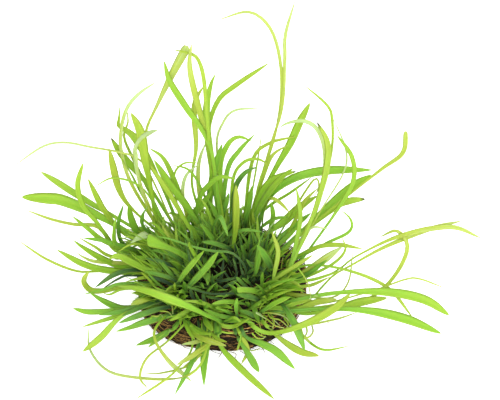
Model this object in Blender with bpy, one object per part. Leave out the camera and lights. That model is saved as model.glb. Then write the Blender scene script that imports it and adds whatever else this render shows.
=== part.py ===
"""Lilaeopsis brasiliensis: a tuft of narrow grass-like leaves rooted in a round pad of coir.

Metres, +Z up. The origin is the centre of the pad's flat underside, the tall leaves lean back to +Y.
"""

import math
from collections import namedtuple

import bmesh
import bpy
from mathutils import Vector
from mathutils.bvhtree import BVHTree

MM = 0.001

# Pad of coir
PAD_RADIUS = 35.0 * MM
PAD_THICKNESS = 12.0 * MM
PAD_BEVEL = 1.6 * MM
PAD_WAVINESS = 0.02
PAD_ROUGHNESS = 0.95
PAD_SIDES = 40
PAD_COLOUR = (0.11, 0.062, 0.032)

# Mass of short leaves: its profile from the middle of its underside, round the outside, to the hollow
# on top, as shares of its reach, and heights above the pad
MASS_REACH_SIDEWAYS = 52.0 * MM
MASS_REACH_BACK = 44.0 * MM
MASS_REACH_FRONT = 37.0 * MM
MASS_LIFT_AT_BACK = 0.35
MASS_SIDES = 36
MASS_PROFILE = (
    (0.00, 0.5 * MM),
    (0.82, 0.5 * MM),
    (0.94, 5.0 * MM),
    (1.00, 12.0 * MM),
    (1.00, 19.0 * MM),
    (0.93, 26.0 * MM),
    (0.74, 30.0 * MM),
    (0.48, 28.0 * MM),
    (0.26, 20.0 * MM),
    (0.10, 11.0 * MM),
    (0.00, 9.0 * MM),
)
MASS_COLOUR = (0.085, 0.22, 0.02)
MASS_ROUGHNESS = 0.6

# Leaves
LEAF_THICKNESS = 0.75 * MM
THICKNESS_SHARE_OF_WIDTH = 0.3
LEAF_ROUGHNESS = 0.45
LEAF_STATIONS = 12
LEAF_LINE_POINTS = 64
LEAF_CLEARANCE = 0.7 * MM
FLOOR_CLEARANCE = 0.75 * MM
TIP_STARTS_AT = 0.86
TIP_WIDTH_SHARE = 0.22
STEM_ENDS_AT = 0.30
BLADE_STARTS_AT = 0.62
LEAN_OF_FACE = 0.6
TURN_TOWARDS_VIEWER = 0.5
EVENING_ROUNDS = 6
STEPS_BETWEEN_POINTS = 20
TINTS = {
    "lime": (0.30, 0.50, 0.04),
    "mid": (0.17, 0.40, 0.03),
    "pale": (0.42, 0.52, 0.10),
}

# The eye that saw the leaves: its place, how far it looks down, and its picture plane, in pixels
EYE = Vector((11.9 * MM, -460.9 * MM, 397.4 * MM))
EYE_LOOKS_DOWN = math.radians(37.0)
PICTURE_CENTRE = (250.0, 200.0)
PICTURE_DISTANCE = 1458.3

# Each leaf: its width, the share of that width which its stem has, the height of its tip, the points
# that it passes in the picture, from its foot on the pad to its tip, and how far it bows out to the
# viewer half way. Lengths are in millimetres and points in pixels
Leaf = namedtuple("Leaf", "name tint width stem tip_height seen bow", defaults=(0,))
LEAVES = (
    Leaf("left_thread_leaf", "lime", 0.9, 0.8, 50,
         [(178, 238), (155, 185), (140, 160), (118, 152), (90, 147), (65, 142.5), (45, 145.5), (24, 158)]),
    Leaf("left_rising_leaf", "mid", 3.0, 0.45, 45,
         [(172, 252), (140, 232), (115, 217), (95, 206), (75, 194), (58, 183), (41, 172)]),
    Leaf("left_broad_leaf", "lime", 4.3, 0.45, 36,
         [(165, 255), (115, 225), (88, 211), (62, 200.5), (48, 198.7), (22, 197)]),
    Leaf("left_upright_leaf", "mid", 2.4, 0.5, 58,
         [(152, 261), (118, 250), (98, 224), (83, 206), (77.5, 185), (83, 163)]),
    Leaf("left_small_leaf", "mid", 2.0, 0.5, 48,
         [(162, 252), (125, 235), (106, 213), (99, 202), (88, 179)]),
    Leaf("left_bladed_leaf", "mid", 2.5, 0.35, 62,
         [(175, 240), (155, 229), (130, 207), (119, 190), (113, 168), (109, 149)]),
    Leaf("left_slender_leaf", "mid", 2.9, 0.5, 60,
         [(178, 232), (150, 188), (133, 168), (120, 153), (111, 138)]),
    Leaf("pale_crook_leaf", "pale", 1.5, 0.7, 77,
         [(165, 238), (132, 185), (121, 150), (120.5, 133), (126, 110), (139, 95), (156, 82)]),
    Leaf("kinked_leaf", "mid", 2.5, 0.5, 72,
         [(180, 230), (160, 182), (137, 141), (119, 127), (119.5, 116), (120, 105)]),
    Leaf("big_left_leaf", "lime", 4.1, 0.45, 76,
         [(162, 242), (156, 220), (151, 190), (145, 160), (140, 132), (131, 113)]),
    Leaf("hooked_leaf", "pale", 1.5, 0.7, 55,
         [(163, 240), (143, 195), (135, 158), (138, 142), (150, 134), (158, 130)]),
    Leaf("tall_folded_leaf", "pale", 2.9, 0.5, 97,
         [(166, 240), (150, 192), (145, 150), (155, 110), (173, 76), (186, 50)]),
    Leaf("tall_crook_leaf", "lime", 1.5, 0.7, 92,
         [(212, 228), (210, 160), (206, 105), (203, 78), (194, 57), (174, 50)]),
    Leaf("crossing_leaf", "mid", 2.3, 0.5, 88,
         [(222, 235), (213, 160), (203, 132), (187, 109), (170, 82), (164, 62)]),
    Leaf("straw_leaf", "pale", 1.9, 0.6, 99,
         [(226, 237), (212, 160), (204, 128), (194, 90), (189.5, 65), (191.5, 44)]),
    Leaf("upright_leaf", "mid", 1.9, 0.6, 78,
         [(221, 231), (212, 165), (208, 128), (208, 103), (216, 74)]),
    Leaf("narrow_upright_leaf", "lime", 1.5, 0.7, 66,
         [(206, 228), (192, 185), (195, 148), (194, 112), (203, 87)]),
    Leaf("long_arched_leaf", "lime", 1.9, 0.6, 77,
         [(224, 233), (213, 170), (209, 130), (218, 101), (235, 86), (269, 63)]),
    Leaf("thin_arched_leaf", "lime", 0.8, 0.8, 53,
         [(230, 229), (217, 150), (223, 123), (236, 110), (258, 108)]),
    Leaf("tallest_arched_leaf", "lime", 1.5, 0.7, 106,
         [(250, 236), (258, 187), (273, 143), (281, 100), (280, 60), (270, 28), (249, 12), (225, 18)]),
    Leaf("tallest_straight_leaf", "pale", 1.9, 0.7, 119,
         [(246, 232), (253, 207), (270, 148), (282, 108), (285, 60), (285.5, 35), (295, 1)]),
    Leaf("right_upper_leaf", "lime", 2.7, 0.5, 65,
         [(250, 232), (262, 195), (276, 168), (290, 144), (300, 122), (310, 103)]),
    Leaf("pale_right_crook_leaf", "pale", 1.5, 0.7, 62,
         [(286, 271), (305, 225), (318, 180), (319, 135), (304, 121), (288, 123), (279, 128)]),
    Leaf("right_bowed_leaf", "mid", 2.3, 0.5, 70,
         [(275, 297), (291, 266), (312, 218), (326, 172), (327.5, 143), (317, 122)]),
    Leaf("right_slim_bowed_leaf", "lime", 0.9, 0.8, 79,
         [(290, 262), (315, 215), (331, 155), (332, 118), (326, 104), (308, 89)]),
    Leaf("right_thread_leaf", "mid", 0.8, 0.8, 66,
         [(291, 266), (318, 215), (343, 174), (346, 150), (333, 118)]),
    Leaf("right_curved_leaf", "lime", 2.1, 0.5, 62,
         [(294, 270), (311, 247), (336, 212), (353, 182), (352, 157), (337, 135)]),
    Leaf("right_level_leaf", "lime", 3.3, 0.5, 44,
         [(255, 240), (265, 205), (278, 188), (300, 176), (330, 170.5), (372, 170)]),
    Leaf("right_upturned_leaf", "lime", 2.1, 0.5, 62,
         [(270, 262), (300, 235), (345, 198), (382, 169), (403, 153), (406, 131)]),
    Leaf("right_broad_leaf", "lime", 4.1, 0.4, 40,
         [(268, 262), (292, 240), (330, 205), (352, 187), (371, 175)]),
    Leaf("right_leaf", "mid", 2.5, 0.5, 29,
         [(276, 257), (300, 235), (335, 207), (350, 201), (365, 199)]),
    Leaf("right_far_leaf", "lime", 2.1, 0.4, 24,
         [(293, 282), (330, 275), (357, 252), (400, 236), (450, 227), (481, 238)]),
    Leaf("right_farther_leaf", "lime", 2.1, 0.4, 30,
         [(290, 290), (322, 286), (350, 266), (385, 247), (430, 229), (461, 221)]),
    Leaf("right_curled_leaf", "mid", 1.5, 0.6, 26,
         [(280, 306), (310, 308), (340, 304), (372, 297), (396, 274), (407.5, 247), (397, 231), (380, 237)]),
    Leaf("right_low_thread_leaf", "lime", 0.8, 0.8, 14,
         [(288, 300), (320, 304), (372, 291), (405, 279.5), (420, 279), (441, 286)]),
    Leaf("right_low_leaf", "mid", 1.2, 0.7, 4,
         [(283, 274), (310, 265), (350, 271), (388, 288), (413, 318)]),
    Leaf("right_long_leaf", "lime", 3.3, 0.4, 7,
         [(275, 305), (315, 296), (350, 292), (390, 292.5), (425, 300), (449, 315)]),
    Leaf("right_lower_leaf", "lime", 3.1, 0.45, 4,
         [(270, 313), (320, 309), (365, 310.5), (405, 319), (441, 333.5)]),
    Leaf("right_middle_leaf", "mid", 2.7, 0.45, 13,
         [(278, 306), (300, 313), (315, 313), (340, 308), (362, 302), (387, 298)]),
    Leaf("front_sweeping_leaf", "lime", 3.2, 0.5, 21,
         [(236, 304), (254, 327), (275, 333), (308, 323), (335, 308), (350, 294)], 16),
    Leaf("front_left_broad_leaf", "lime", 4.1, 0.45, 36,
         [(248, 318), (235, 326), (208, 312), (178, 300), (140, 290), (118, 286)], 14),
    Leaf("front_right_leaf", "mid", 2.5, 0.5, 6,
         [(270, 297), (281, 303), (294, 323), (305, 351)], 5),
    Leaf("front_right_lime_leaf", "lime", 2.4, 0.5, 5,
         [(256, 314), (276, 335), (299, 351), (319, 356)]),
    Leaf("front_short_leaf", "mid", 3.1, 0.5, 3,
         [(240, 325), (246, 337), (262, 344), (277, 352), (295, 369)]),
    Leaf("front_long_leaf", "lime", 3.1, 0.5, 1.2,
         [(217, 323), (220, 345), (240, 368), (274, 399)]),
    Leaf("front_pad_leaf", "mid", 2.9, 0.5, 2.5,
         [(232, 322), (238, 338), (247, 352), (259, 372)]),
    Leaf("front_middle_leaf", "mid", 2.9, 0.5, 1.2,
         [(207, 320), (206, 343), (204, 365), (204, 386)]),
    Leaf("front_left_leaf", "mid", 2.5, 0.5, 2.4,
         [(198, 318), (199, 343), (190, 366), (175, 394.5)], 3),
    Leaf("front_left_pale_leaf", "lime", 1.7, 0.6, 1.5,
         [(168, 312), (154, 334), (167, 359), (191, 381)], 6),
    Leaf("front_left_thin_leaf", "lime", 0.9, 0.8, 2.6,
         [(190, 322), (192, 348), (178, 368), (165, 380), (136, 399)], 5),
    Leaf("front_left_curl_leaf", "lime", 1.1, 0.8, 1.2,
         [(190, 318), (168, 341), (147, 358), (140, 377), (148, 389)]),
    Leaf("left_looping_leaf", "lime", 0.9, 0.8, 10,
         [(212, 324), (207, 348), (198, 368), (178, 378.5), (140, 378), (108, 371), (90, 350), (88.5, 327)]),
    Leaf("left_low_leaf", "mid", 2.1, 0.5, 2,
         [(166, 302), (125, 314), (100, 338), (83, 351.5)]),
    Leaf("left_level_leaf", "mid", 1.9, 0.6, 8,
         [(166, 298), (130, 308), (92, 312), (73, 308.5)]),
    Leaf("left_middle_leaf", "mid", 2.9, 0.5, 24,
         [(160, 274), (115, 271.5), (85, 265), (57, 250)]),
    Leaf("left_curled_leaf", "lime", 2.1, 0.6, 18,
         [(160, 284), (125, 287), (103, 291), (90, 290), (83.5, 281), (89, 271)]),
    Leaf("left_faint_leaf", "lime", 1.0, 0.7, 33,
         [(158, 254), (97, 227), (74, 224.5), (50, 219), (26, 210)]),
    Leaf("left_far_thin_leaf", "lime", 1.1, 0.7, 25,
         [(163, 271), (100, 271.5), (76, 271), (46, 259), (19, 241)]),
)


def sight_line(pixel):
    """The direction from the eye through a point of its picture."""
    ahead = Vector((0.0, math.cos(EYE_LOOKS_DOWN), -math.sin(EYE_LOOKS_DOWN)))
    up = Vector((0.0, math.sin(EYE_LOOKS_DOWN), math.cos(EYE_LOOKS_DOWN)))
    sideways = Vector((1.0, 0.0, 0.0))
    across = (pixel[0] - PICTURE_CENTRE[0]) / PICTURE_DISTANCE
    down = (pixel[1] - PICTURE_CENTRE[1]) / PICTURE_DISTANCE
    return ahead + across * sideways - down * up


def where_sight_meets_height(pixel, height):
    direction = sight_line(pixel)
    return EYE + direction * ((height - EYE.z) / direction.z)


def where_sight_meets_depth(pixel, depth):
    direction = sight_line(pixel)
    return EYE + direction * ((depth - EYE.y) / direction.y)


def smooth_curve(points, samples):
    """Evenly spaced points on a Catmull-Rom curve through the given ones."""
    points = [Vector(p) for p in points]
    padded = [2 * points[0] - points[1], *points, 2 * points[-1] - points[-2]]
    dense = []
    for before, start, end, after in zip(padded, padded[1:], padded[2:], padded[3:]):
        for step in range(STEPS_BETWEEN_POINTS):
            t = step / STEPS_BETWEEN_POINTS
            dense.append(0.5 * (
                2 * start + (end - before) * t
                + (2 * before - 5 * start + 4 * end - after) * t * t
                + (3 * start - before - 3 * end + after) * t * t * t
            ))
    dense.append(points[-1])
    return evenly_spaced(dense, samples)


def evenly_spaced(points, samples):
    lengths = [0.0]
    for a, b in zip(points, points[1:]):
        lengths.append(lengths[-1] + (b - a).length)
    spaced = []
    at = 0
    for k in range(samples):
        goal = lengths[-1] * k / (samples - 1)
        while at < len(points) - 2 and lengths[at + 1] < goal:
            at += 1
        span = max(lengths[at + 1] - lengths[at], 1e-9)
        spaced.append(points[at].lerp(points[at + 1], min(1.0, (goal - lengths[at]) / span)))
    return spaced


def lowest_allowed(point):
    """The least height of a leaf's middle line: just over the pad, or just over the floor."""
    over_pad = math.hypot(point.x, point.y) < PAD_RADIUS + LEAF_CLEARANCE
    return PAD_THICKNESS + LEAF_CLEARANCE if over_pad else FLOOR_CLEARANCE


def leaf_line(leaf):
    """The leaf's middle line in space. Its depth runs evenly from foot to tip, and what would sink
    into the pad or the floor lies on it."""
    pixels = smooth_curve([(u, v, 0.0) for u, v in leaf.seen], LEAF_LINE_POINTS)
    foot = where_sight_meets_height(pixels[0], PAD_THICKNESS + LEAF_CLEARANCE)
    tip = where_sight_meets_height(pixels[-1], leaf.tip_height * MM)
    line = []
    for k, pixel in enumerate(pixels):
        share = k / (len(pixels) - 1)
        bow = leaf.bow * MM * math.sin(math.pi * share)
        point = where_sight_meets_depth(pixel, foot.y + (tip.y - foot.y) * share - bow)
        if point.z < lowest_allowed(point):
            point = where_sight_meets_height(pixel, lowest_allowed(point))
        line.append(point)
    return settled(line)


def settled(line):
    """The same sight lines, with the distances along them evened out."""
    distances = [(p - EYE).length for p in line]
    for _ in range(EVENING_ROUNDS):
        middle = [
            (a + 2 * b + c) / 4
            for a, b, c in zip(distances, distances[1:], distances[2:])
        ]
        distances = [distances[0], *middle, distances[-1]]
        for k, point in enumerate(line):
            direction = (point - EYE).normalized()
            moved = EYE + direction * distances[k]
            least = lowest_allowed(moved)
            if moved.z < least:
                distances[k] = (least - EYE.z) / direction.z
    return [EYE + (p - EYE).normalized() * d for p, d in zip(line, distances)]


def ease(value):
    value = min(1.0, max(0.0, value))
    return value * value * (3.0 - 2.0 * value)


def width_at(leaf, share):
    """A leaf widens from its stem to its blade, and closes in a blunt point."""
    blade = ease((share - STEM_ENDS_AT) / (BLADE_STARTS_AT - STEM_ENDS_AT))
    width = leaf.width * MM * (leaf.stem + (1.0 - leaf.stem) * blade)
    past = max(0.0, (share - TIP_STARTS_AT) / (1.0 - TIP_STARTS_AT))
    return width * (TIP_WIDTH_SHARE + (1.0 - TIP_WIDTH_SHARE) * math.sqrt(max(0.0, 1.0 - past * past)))


def facing(line, k):
    """The direction of the blade's face: up and inwards, turned partly towards the viewer."""
    along = (line[min(k + 1, len(line) - 1)] - line[max(k - 1, 0)]).normalized()
    outward = Vector((line[-1].x - line[0].x, line[-1].y - line[0].y, 0.0)).normalized()
    inner = Vector((0.0, 0.0, 1.0)) - LEAN_OF_FACE * outward
    towards_eye = (EYE - line[k]).normalized()
    face = inner.normalized().lerp(towards_eye, TURN_TOWARDS_VIEWER)
    face = face - along * face.dot(along)
    return along, face.normalized()


def shown_stretch(line, mass_tree):
    """The part of a middle line past its last point in the mass of short leaves."""
    last_inside = 0
    for k, point in enumerate(line):
        place, normal, _, distance = mass_tree.find_nearest(point)
        inside = (point - place).dot(normal) < 0
        if inside or distance < LEAF_CLEARANCE:
            last_inside = k
    return last_inside + 1


def leaf_mesh(leaf, mass_tree):
    line = leaf_line(leaf)
    first = shown_stretch(line, mass_tree)
    last = len(line) - 1
    thickness = min(LEAF_THICKNESS, THICKNESS_SHARE_OF_WIDTH * leaf.width * MM)
    mesh = bmesh.new()
    rings = []
    for station in range(LEAF_STATIONS):
        k = round(first + (last - first) * station / (LEAF_STATIONS - 1))
        width = width_at(leaf, k / last)
        along, face = facing(line, k)
        side = along.cross(face)
        corners = (side * width, face * thickness, -side * width, -face * thickness)
        rings.append([mesh.verts.new(line[k] + corner / 2) for corner in corners])
    for near, far in zip(rings, rings[1:]):
        for i in range(4):
            j = (i + 1) % 4
            mesh.faces.new((near[i], near[j], far[j], far[i]))
    mesh.faces.new(rings[0][::-1])
    mesh.faces.new(rings[-1])
    bmesh.ops.recalc_face_normals(mesh, faces=mesh.faces)
    return mesh


def turned_mesh(rings):
    """A closed body from rings of points, whose first and last rings are single points."""
    mesh = bmesh.new()
    rows = [[mesh.verts.new(p) for p in ring] for ring in rings]
    for lower, upper in zip(rows, rows[1:]):
        count = max(len(lower), len(upper))
        for i in range(count):
            corners = [
                lower[i % len(lower)],
                lower[(i + 1) % len(lower)],
                upper[(i + 1) % len(upper)],
                upper[i % len(upper)],
            ]
            mesh.faces.new(list(dict.fromkeys(corners)))
    bmesh.ops.recalc_face_normals(mesh, faces=mesh.faces)
    return mesh


def angles(sides):
    return [2 * math.pi * i / sides for i in range(sides)]


def ring(places):
    """Points from their radius, angle and height."""
    return [(radius * math.cos(a), radius * math.sin(a), height) for radius, a, height in places]


def pad_mesh():
    """A slightly uneven disc with softened edges and a flat underside."""
    def edge(angle):
        wave = math.sin(3 * angle + 0.6) * math.cos(2 * angle)
        return PAD_RADIUS * (1 - PAD_WAVINESS / 2 + PAD_WAVINESS * wave)

    profile = (
        (PAD_BEVEL, 0.0),
        (0.0, PAD_BEVEL),
        (0.0, PAD_THICKNESS - PAD_BEVEL),
        (PAD_BEVEL, PAD_THICKNESS),
    )
    rings = [[(0.0, 0.0, 0.0)]]
    for inset, height in profile:
        rings.append(ring([(edge(a) - inset, a, height) for a in angles(PAD_SIDES)]))
    rings.append([(0.0, 0.0, PAD_THICKNESS)])
    return turned_mesh(rings)


def mass_mesh():
    """The outer shape of the short leaves: a low bowl, taller at the back, with a hollow on top."""
    def reach(angle):
        lengthways = MASS_REACH_BACK if math.sin(angle) > 0 else MASS_REACH_FRONT
        return math.hypot(MASS_REACH_SIDEWAYS * math.cos(angle), lengthways * math.sin(angle))

    def height(angle, rise):
        lift = 0.0 if rise == MASS_PROFILE[0][1] else MASS_LIFT_AT_BACK * math.sin(angle)
        return PAD_THICKNESS + rise * (1 + lift)

    rings = []
    for share, rise in MASS_PROFILE:
        if share == 0.0:
            rings.append([(0.0, 0.0, PAD_THICKNESS + rise)])
        else:
            rings.append(ring([(share * reach(a), a, height(a, rise)) for a in angles(MASS_SIDES)]))
    return turned_mesh(rings)


def material(name, colour, roughness):
    made = bpy.data.materials.new(name)
    made.use_nodes = True
    shader = made.node_tree.nodes["Principled BSDF"]
    shader.inputs["Base Color"].default_value = (*colour, 1.0)
    shader.inputs["Roughness"].default_value = roughness
    shader.inputs["Metallic"].default_value = 0.0
    return made


def add_piece(name, shape, surface):
    data = bpy.data.meshes.new(name)
    shape.to_mesh(data)
    shape.free()
    data.materials.append(surface)
    piece = bpy.data.objects.new(name, data)
    bpy.context.scene.collection.objects.link(piece)
    return piece


def clear_scene():
    for old in list(bpy.data.objects):
        bpy.data.objects.remove(old, do_unlink=True)


def main():
    clear_scene()
    add_piece("coir_pad", pad_mesh(), material("coir", PAD_COLOUR, PAD_ROUGHNESS))
    mass = mass_mesh()
    mass_tree = BVHTree.FromBMesh(mass)
    add_piece("short_leaf_mass", mass, material("short_leaves", MASS_COLOUR, MASS_ROUGHNESS))
    surfaces = {}
    for tint, colour in TINTS.items():
        surfaces[tint] = material("leaf_" + tint, colour, LEAF_ROUGHNESS)
    for leaf in LEAVES:
        add_piece(leaf.name, leaf_mesh(leaf, mass_tree), surfaces[leaf.tint])


main()
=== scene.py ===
import math
import random
from collections import namedtuple

import bpy
from mathutils import Matrix, Vector, noise


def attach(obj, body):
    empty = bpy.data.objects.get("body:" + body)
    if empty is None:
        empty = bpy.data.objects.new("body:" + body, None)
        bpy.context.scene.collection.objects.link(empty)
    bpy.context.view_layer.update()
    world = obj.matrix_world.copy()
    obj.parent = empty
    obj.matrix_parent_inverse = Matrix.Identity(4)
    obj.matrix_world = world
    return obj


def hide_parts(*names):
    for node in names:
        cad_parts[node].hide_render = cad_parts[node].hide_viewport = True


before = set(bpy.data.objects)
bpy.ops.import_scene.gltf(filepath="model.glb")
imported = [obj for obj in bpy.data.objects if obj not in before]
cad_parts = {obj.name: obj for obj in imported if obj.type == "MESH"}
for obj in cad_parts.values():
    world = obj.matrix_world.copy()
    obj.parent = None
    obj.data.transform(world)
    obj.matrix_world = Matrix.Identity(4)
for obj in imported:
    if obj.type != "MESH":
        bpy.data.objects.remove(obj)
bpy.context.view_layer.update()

MM = 0.001
WHITE = (1.0, 1.0, 1.0)
UP = Vector((0.0, 0.0, 1.0))
SIDEWAYS = Vector((1.0, 0.0, 0.0))

# The camera, where the photograph was taken from, and its picture plane, in pixels
EYE = Vector((11.9 * MM, -460.9 * MM, 397.4 * MM))
EYE_LOOKS_DOWN = math.radians(37.0)
SENSOR_WIDTH = 36.0
FOCAL_LENGTH = 105.0
NEAREST_SEEN = 0.01
PICTURE_WIDTH = 500
PICTURE_CENTRE = (250.0, 200.0)
PICTURE_DISTANCE = FOCAL_LENGTH / SENSOR_WIDTH * PICTURE_WIDTH

# The light: each lamp's name, place, size in metres and power in watts
SURROUND = 1.08
LAMPS_AIM = Vector((0.0, 0.0, 0.03))
LAMPS = (
    ("key", (-0.45, -0.60, 0.70), 0.6, 3.8),
    ("front", (0.05, -0.75, 0.50), 0.5, 5.5),
    ("fill", (0.60, -0.65, 0.40), 0.6, 5.5),
    ("back", (0.35, 0.75, 0.50), 0.6, 6.5),
)
FLOOR_SIZE = 6.0
FLOOR_COLOUR = (0.9, 0.9, 0.9)
FLOOR_ROUGHNESS = 0.9
FLOOR_GLOW = 0.45

# Pad of coir, with the sizes of its solid
PAD_RADIUS = 35.0 * MM
PAD_THICKNESS = 12.0 * MM
PAD_WAVINESS = 0.02
PAD_SIDES = 120

# Its outline from the middle of its underside round to the bottom of the hollow on top, as shares of
# its radius and heights in millimetres, the heights between which it is side, and its roughness
PAD_PROFILE = (
    (0.0, 0.0), (0.5, 0.0), (0.975, 0.0), (0.988, 0.5), (0.99, 2.0), (0.99, 4.0), (0.985, 6.0),
    (0.985, 8.0), (0.975, 10.0), (0.945, 11.4), (0.88, 11.9), (0.75, 12.0), (0.6, 12.0), (0.45, 12.0),
    (0.32, 11.4), (0.24, 8.5), (0.18, 6.6), (0.08, 6.1), (0.0, 6.0),
)
PAD_SIDE_HEIGHTS = (0.3, 11.0)
PAD_ROUGHNESS = 0.9
HOLLOW_RADIUS = 8.0 * MM
HOLLOW_DEPTH = 6.0 * MM

# Reach and height of the mass of short leaves, with the sizes of its solid
MASS_REACH_SIDEWAYS = 52.0 * MM
MASS_REACH_BACK = 44.0 * MM
MASS_REACH_FRONT = 37.0 * MM
MASS_LIFT_AT_BACK = 0.35
MASS_RISE = 30.0 * MM

# How the leaves lie and what their blades are like
LEAF_CLEARANCE = 0.7 * MM
FLOOR_CLEARANCE = 0.75 * MM
LEAF_LINE_POINTS = 64
LEAN_OF_FACE = 0.6
TURN_TOWARDS_VIEWER = 0.62
EVENING_ROUNDS = 6
STEPS_BETWEEN_POINTS = 20
TIP_WIDTH_SHARE = 0.07
MOST_WIDENING = 1.4
BLADE_THICKNESS = 0.36 * MM
THICKNESS_SHARE_OF_WIDTH = 0.4
THICKNESS_SHARE_AT_TIP = 0.45
THINNING_AT_EDGE = 0.35
BLADE_FOLD = 0.18
FOLD_SHARPNESS = 1.4
FOLD_LEVEL = 0.4
STATIONS_CROWD_AT_TIP = 1.5
TWIST_WAVES = 3.0
RIPPLE = 0.05
RIPPLE_WAVES = 9.0
ABOUT_A_TURN = 6.3
NEARLY_UPRIGHT = 0.1

# Eight points round a blade, as shares of its half width and thickness: two edges, three on its upper
# face and three on its lower
SECTION = ((-1.0, 0), (-0.5, 1), (0.0, 1), (0.5, 1), (1.0, 0), (0.5, -1), (0.0, -1), (-0.5, -1))

# How a leaf's width runs along it: where its stem ends, where it is full, where its tip starts, and
# how round and how blunt that tip is
Shape = namedtuple("Shape", "stem_ends full_from tip_starts roundness bluntness")
LONG_SHAPE = Shape(0.34, 0.74, 0.76, 2.2, 0.7)
FOLDED_SHAPE = Shape(0.60, 0.95, 0.95, 4.0, 0.3)
SHORT_SHAPE = Shape(0.15, 0.50, 0.64, 2.0, 0.8)
SMALL_SHAPE = Shape(0.15, 0.45, 0.45, 1.7, 1.0)

# Leaves that have another shape than most: full from further down, widest at their end, narrowing
# evenly from the middle to the tip, widening late, or narrow past a fold
OWN_SHAPES = {
    **dict.fromkeys(("front_short_leaf", "front_long_leaf", "front_right_leaf", "front_left_leaf",
                     "right_level_leaf", "left_middle_leaf", "upright_leaf", "front_left_broad_leaf"),
                    SHORT_SHAPE),
    **dict.fromkeys(("tall_folded_leaf", "right_upturned_leaf", "folded", "cut_end"), FOLDED_SHAPE),
    **dict.fromkeys(("front_middle_leaf", "folded_tip"), SMALL_SHAPE),
    "hooked_front": Shape(0.60, 0.85, 0.86, 2.0, 0.8),
    "kinked_leaf": Shape(0.34, 0.60, 0.72, 0.9, 1.0),
}
BROWN_TIPPED = {"right_bowed_leaf", "right_leaf", "left_slender_leaf", "dark_right", "back_h"}

# How yellow each tint is, from deep green at 0 to straw at 1, and the colours on that scale. Its
# near-black low end is painted shade; the deep and dark tints, given to leaves low in the mass, are
# partly that painted shade
TONES = {"deep": 0.14, "dark": 0.28, "mid": 0.55, "lime": 0.74, "pale": 0.93}
LEAF_COLOURS = (
    (0.0, (0.022, 0.066, 0.024)),
    (0.25, (0.148, 0.355, 0.036)),
    (0.5, (0.236, 0.446, 0.032)),
    (0.62, (0.278, 0.448, 0.034)),
    (0.76, (0.343, 0.450, 0.046)),
    (0.88, (0.415, 0.470, 0.070)),
    (1.0, (0.465, 0.590, 0.275)),
)
EDGE_COLOUR = (0.52, 0.60, 0.10)
DRY_COLOUR = (0.030, 0.024, 0.016)
LIGHT_THROUGH = (0.40, 0.62, 0.07)
COIR_COLOURS = (
    (0.22, (0.012, 0.009, 0.004)),
    (0.6, (0.066, 0.036, 0.013)),
    (1.0, (0.38, 0.22, 0.06)),
)

# How many stations along it a leaf is made of, and from which share of its length on the undergrowth
# keeps out of its way in the picture: named leaves and short ones
NAMED_STATIONS = 34
SHORT_STATIONS = 26
SHOWN_OF_NAMED = 0.45
SHOWN_OF_SHORT = 0.30
NAMED_SEED = 100
SHORT_SEED = 300
USUAL_ROLL = 0.15

# Coir fibres: their number, the length of their steps, how sharply they bend, and the least and the
# most of their radius, all lengths in millimetres
Fibres = namedtuple("Fibres", "count step bend radii")
TOP_FIBRES = Fibres(1300, 1.3, 0.35, (0.08, 0.17))
SIDE_FIBRES = Fibres(1500, 1.2, 0.35, (0.10, 0.22))
LOOSE_FIBRES = Fibres(36, 0.8, 0.4, (0.10, 0.18))
FIBRE_SEED = 5
SIDE_FIBRE_HEIGHTS = (0.8, 12.0)
LOOSE_FIBRE_HEIGHTS = (0.5, 7.0)
LOOSE_FIBRE_POINTS = (4, 7)
SIDE_FIBRE_SPREAD = 0.3
LOOSE_FIBRE_SPREAD = 0.8
EDGE_FIBRE_RADIUS = 0.16 * MM
EDGE_FIBRE_POINTS = 10
FIBRE_SIDES = 4
FIBRE_POINTS = 8
FIBRE_TAPER = 0.6

# Where a fibre may lie: how far inside the pad's edge, how deep in its top or side and how far out of
# it, how far from the bottom and the top of its side, how far over the floor, and where the rim of
# the hollow starts and how wide it is, as shares of the hollow's radius
INSET_ON_TOP = 0.4 * MM
DEPTHS_ON_TOP = (0.6 * MM, 0.5 * MM)
DEPTHS_ON_SIDE = (0.9 * MM, 0.15 * MM)
SIDE_MARGINS = (0.7 * MM, 0.2 * MM)
LOOSE_CLEARANCE = 0.25 * MM
HOLLOW_RIM = (0.6, 0.7)

# Roots and runners, with the least and the most of their radius and their steps in millimetres
ROOT_SEED = 23
ROOT_POINTS = 24
MORE_ROOTS = 16
MORE_ROOTS_RADII = (0.16, 0.30)
MORE_ROOTS_STEP = 0.9
MORE_ROOTS_POINTS = 22
MORE_ROOTS_TAPER = 0.5
ROOT_SIDES = 6

# Undergrowth: the leaves between the traced ones. Its tips stay inside this outline in the picture, in
# pixels, and it hides hardly any of the traced leaves
UNDERGROWTH_SEED = 11
DENSE_OUTLINE = (
    (146, 222), (168, 212), (192, 205), (214, 208), (232, 206), (248, 198), (257, 206), (264, 220),
    (280, 232), (291, 245), (301, 262), (306, 280), (306, 296), (298, 318), (284, 324), (245, 329),
    (205, 327), (172, 330), (140, 326), (126, 314), (132, 294), (116, 276), (110, 250), (120, 228),
)
MOST_HIDING = 0.10
MOST_TRIES = 50
UNDERGROWTH_CLEARANCE = 0.5 * MM
HANGS_OVER_EDGE = 2.5 * MM
SHORTEST_UNDERGROWTH = 8.0 * MM
SHORTENING = 0.92

# How its lines run and its blades turn, and how finely the traced leaves are sampled for what they
# cover in the picture
UNDERGROWTH_ROLL = 0.9
UNDERGROWTH_TURN = 0.5
UNDERGROWTH_STATIONS = 16
UNDERGROWTH_LINE_POINTS = 18
UNDERGROWTH_STEMS = (0.65, 0.95)
BENDS_LATE = 1.4
COVER_STEPS = 3
COVER_REACH = 0.4

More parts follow.
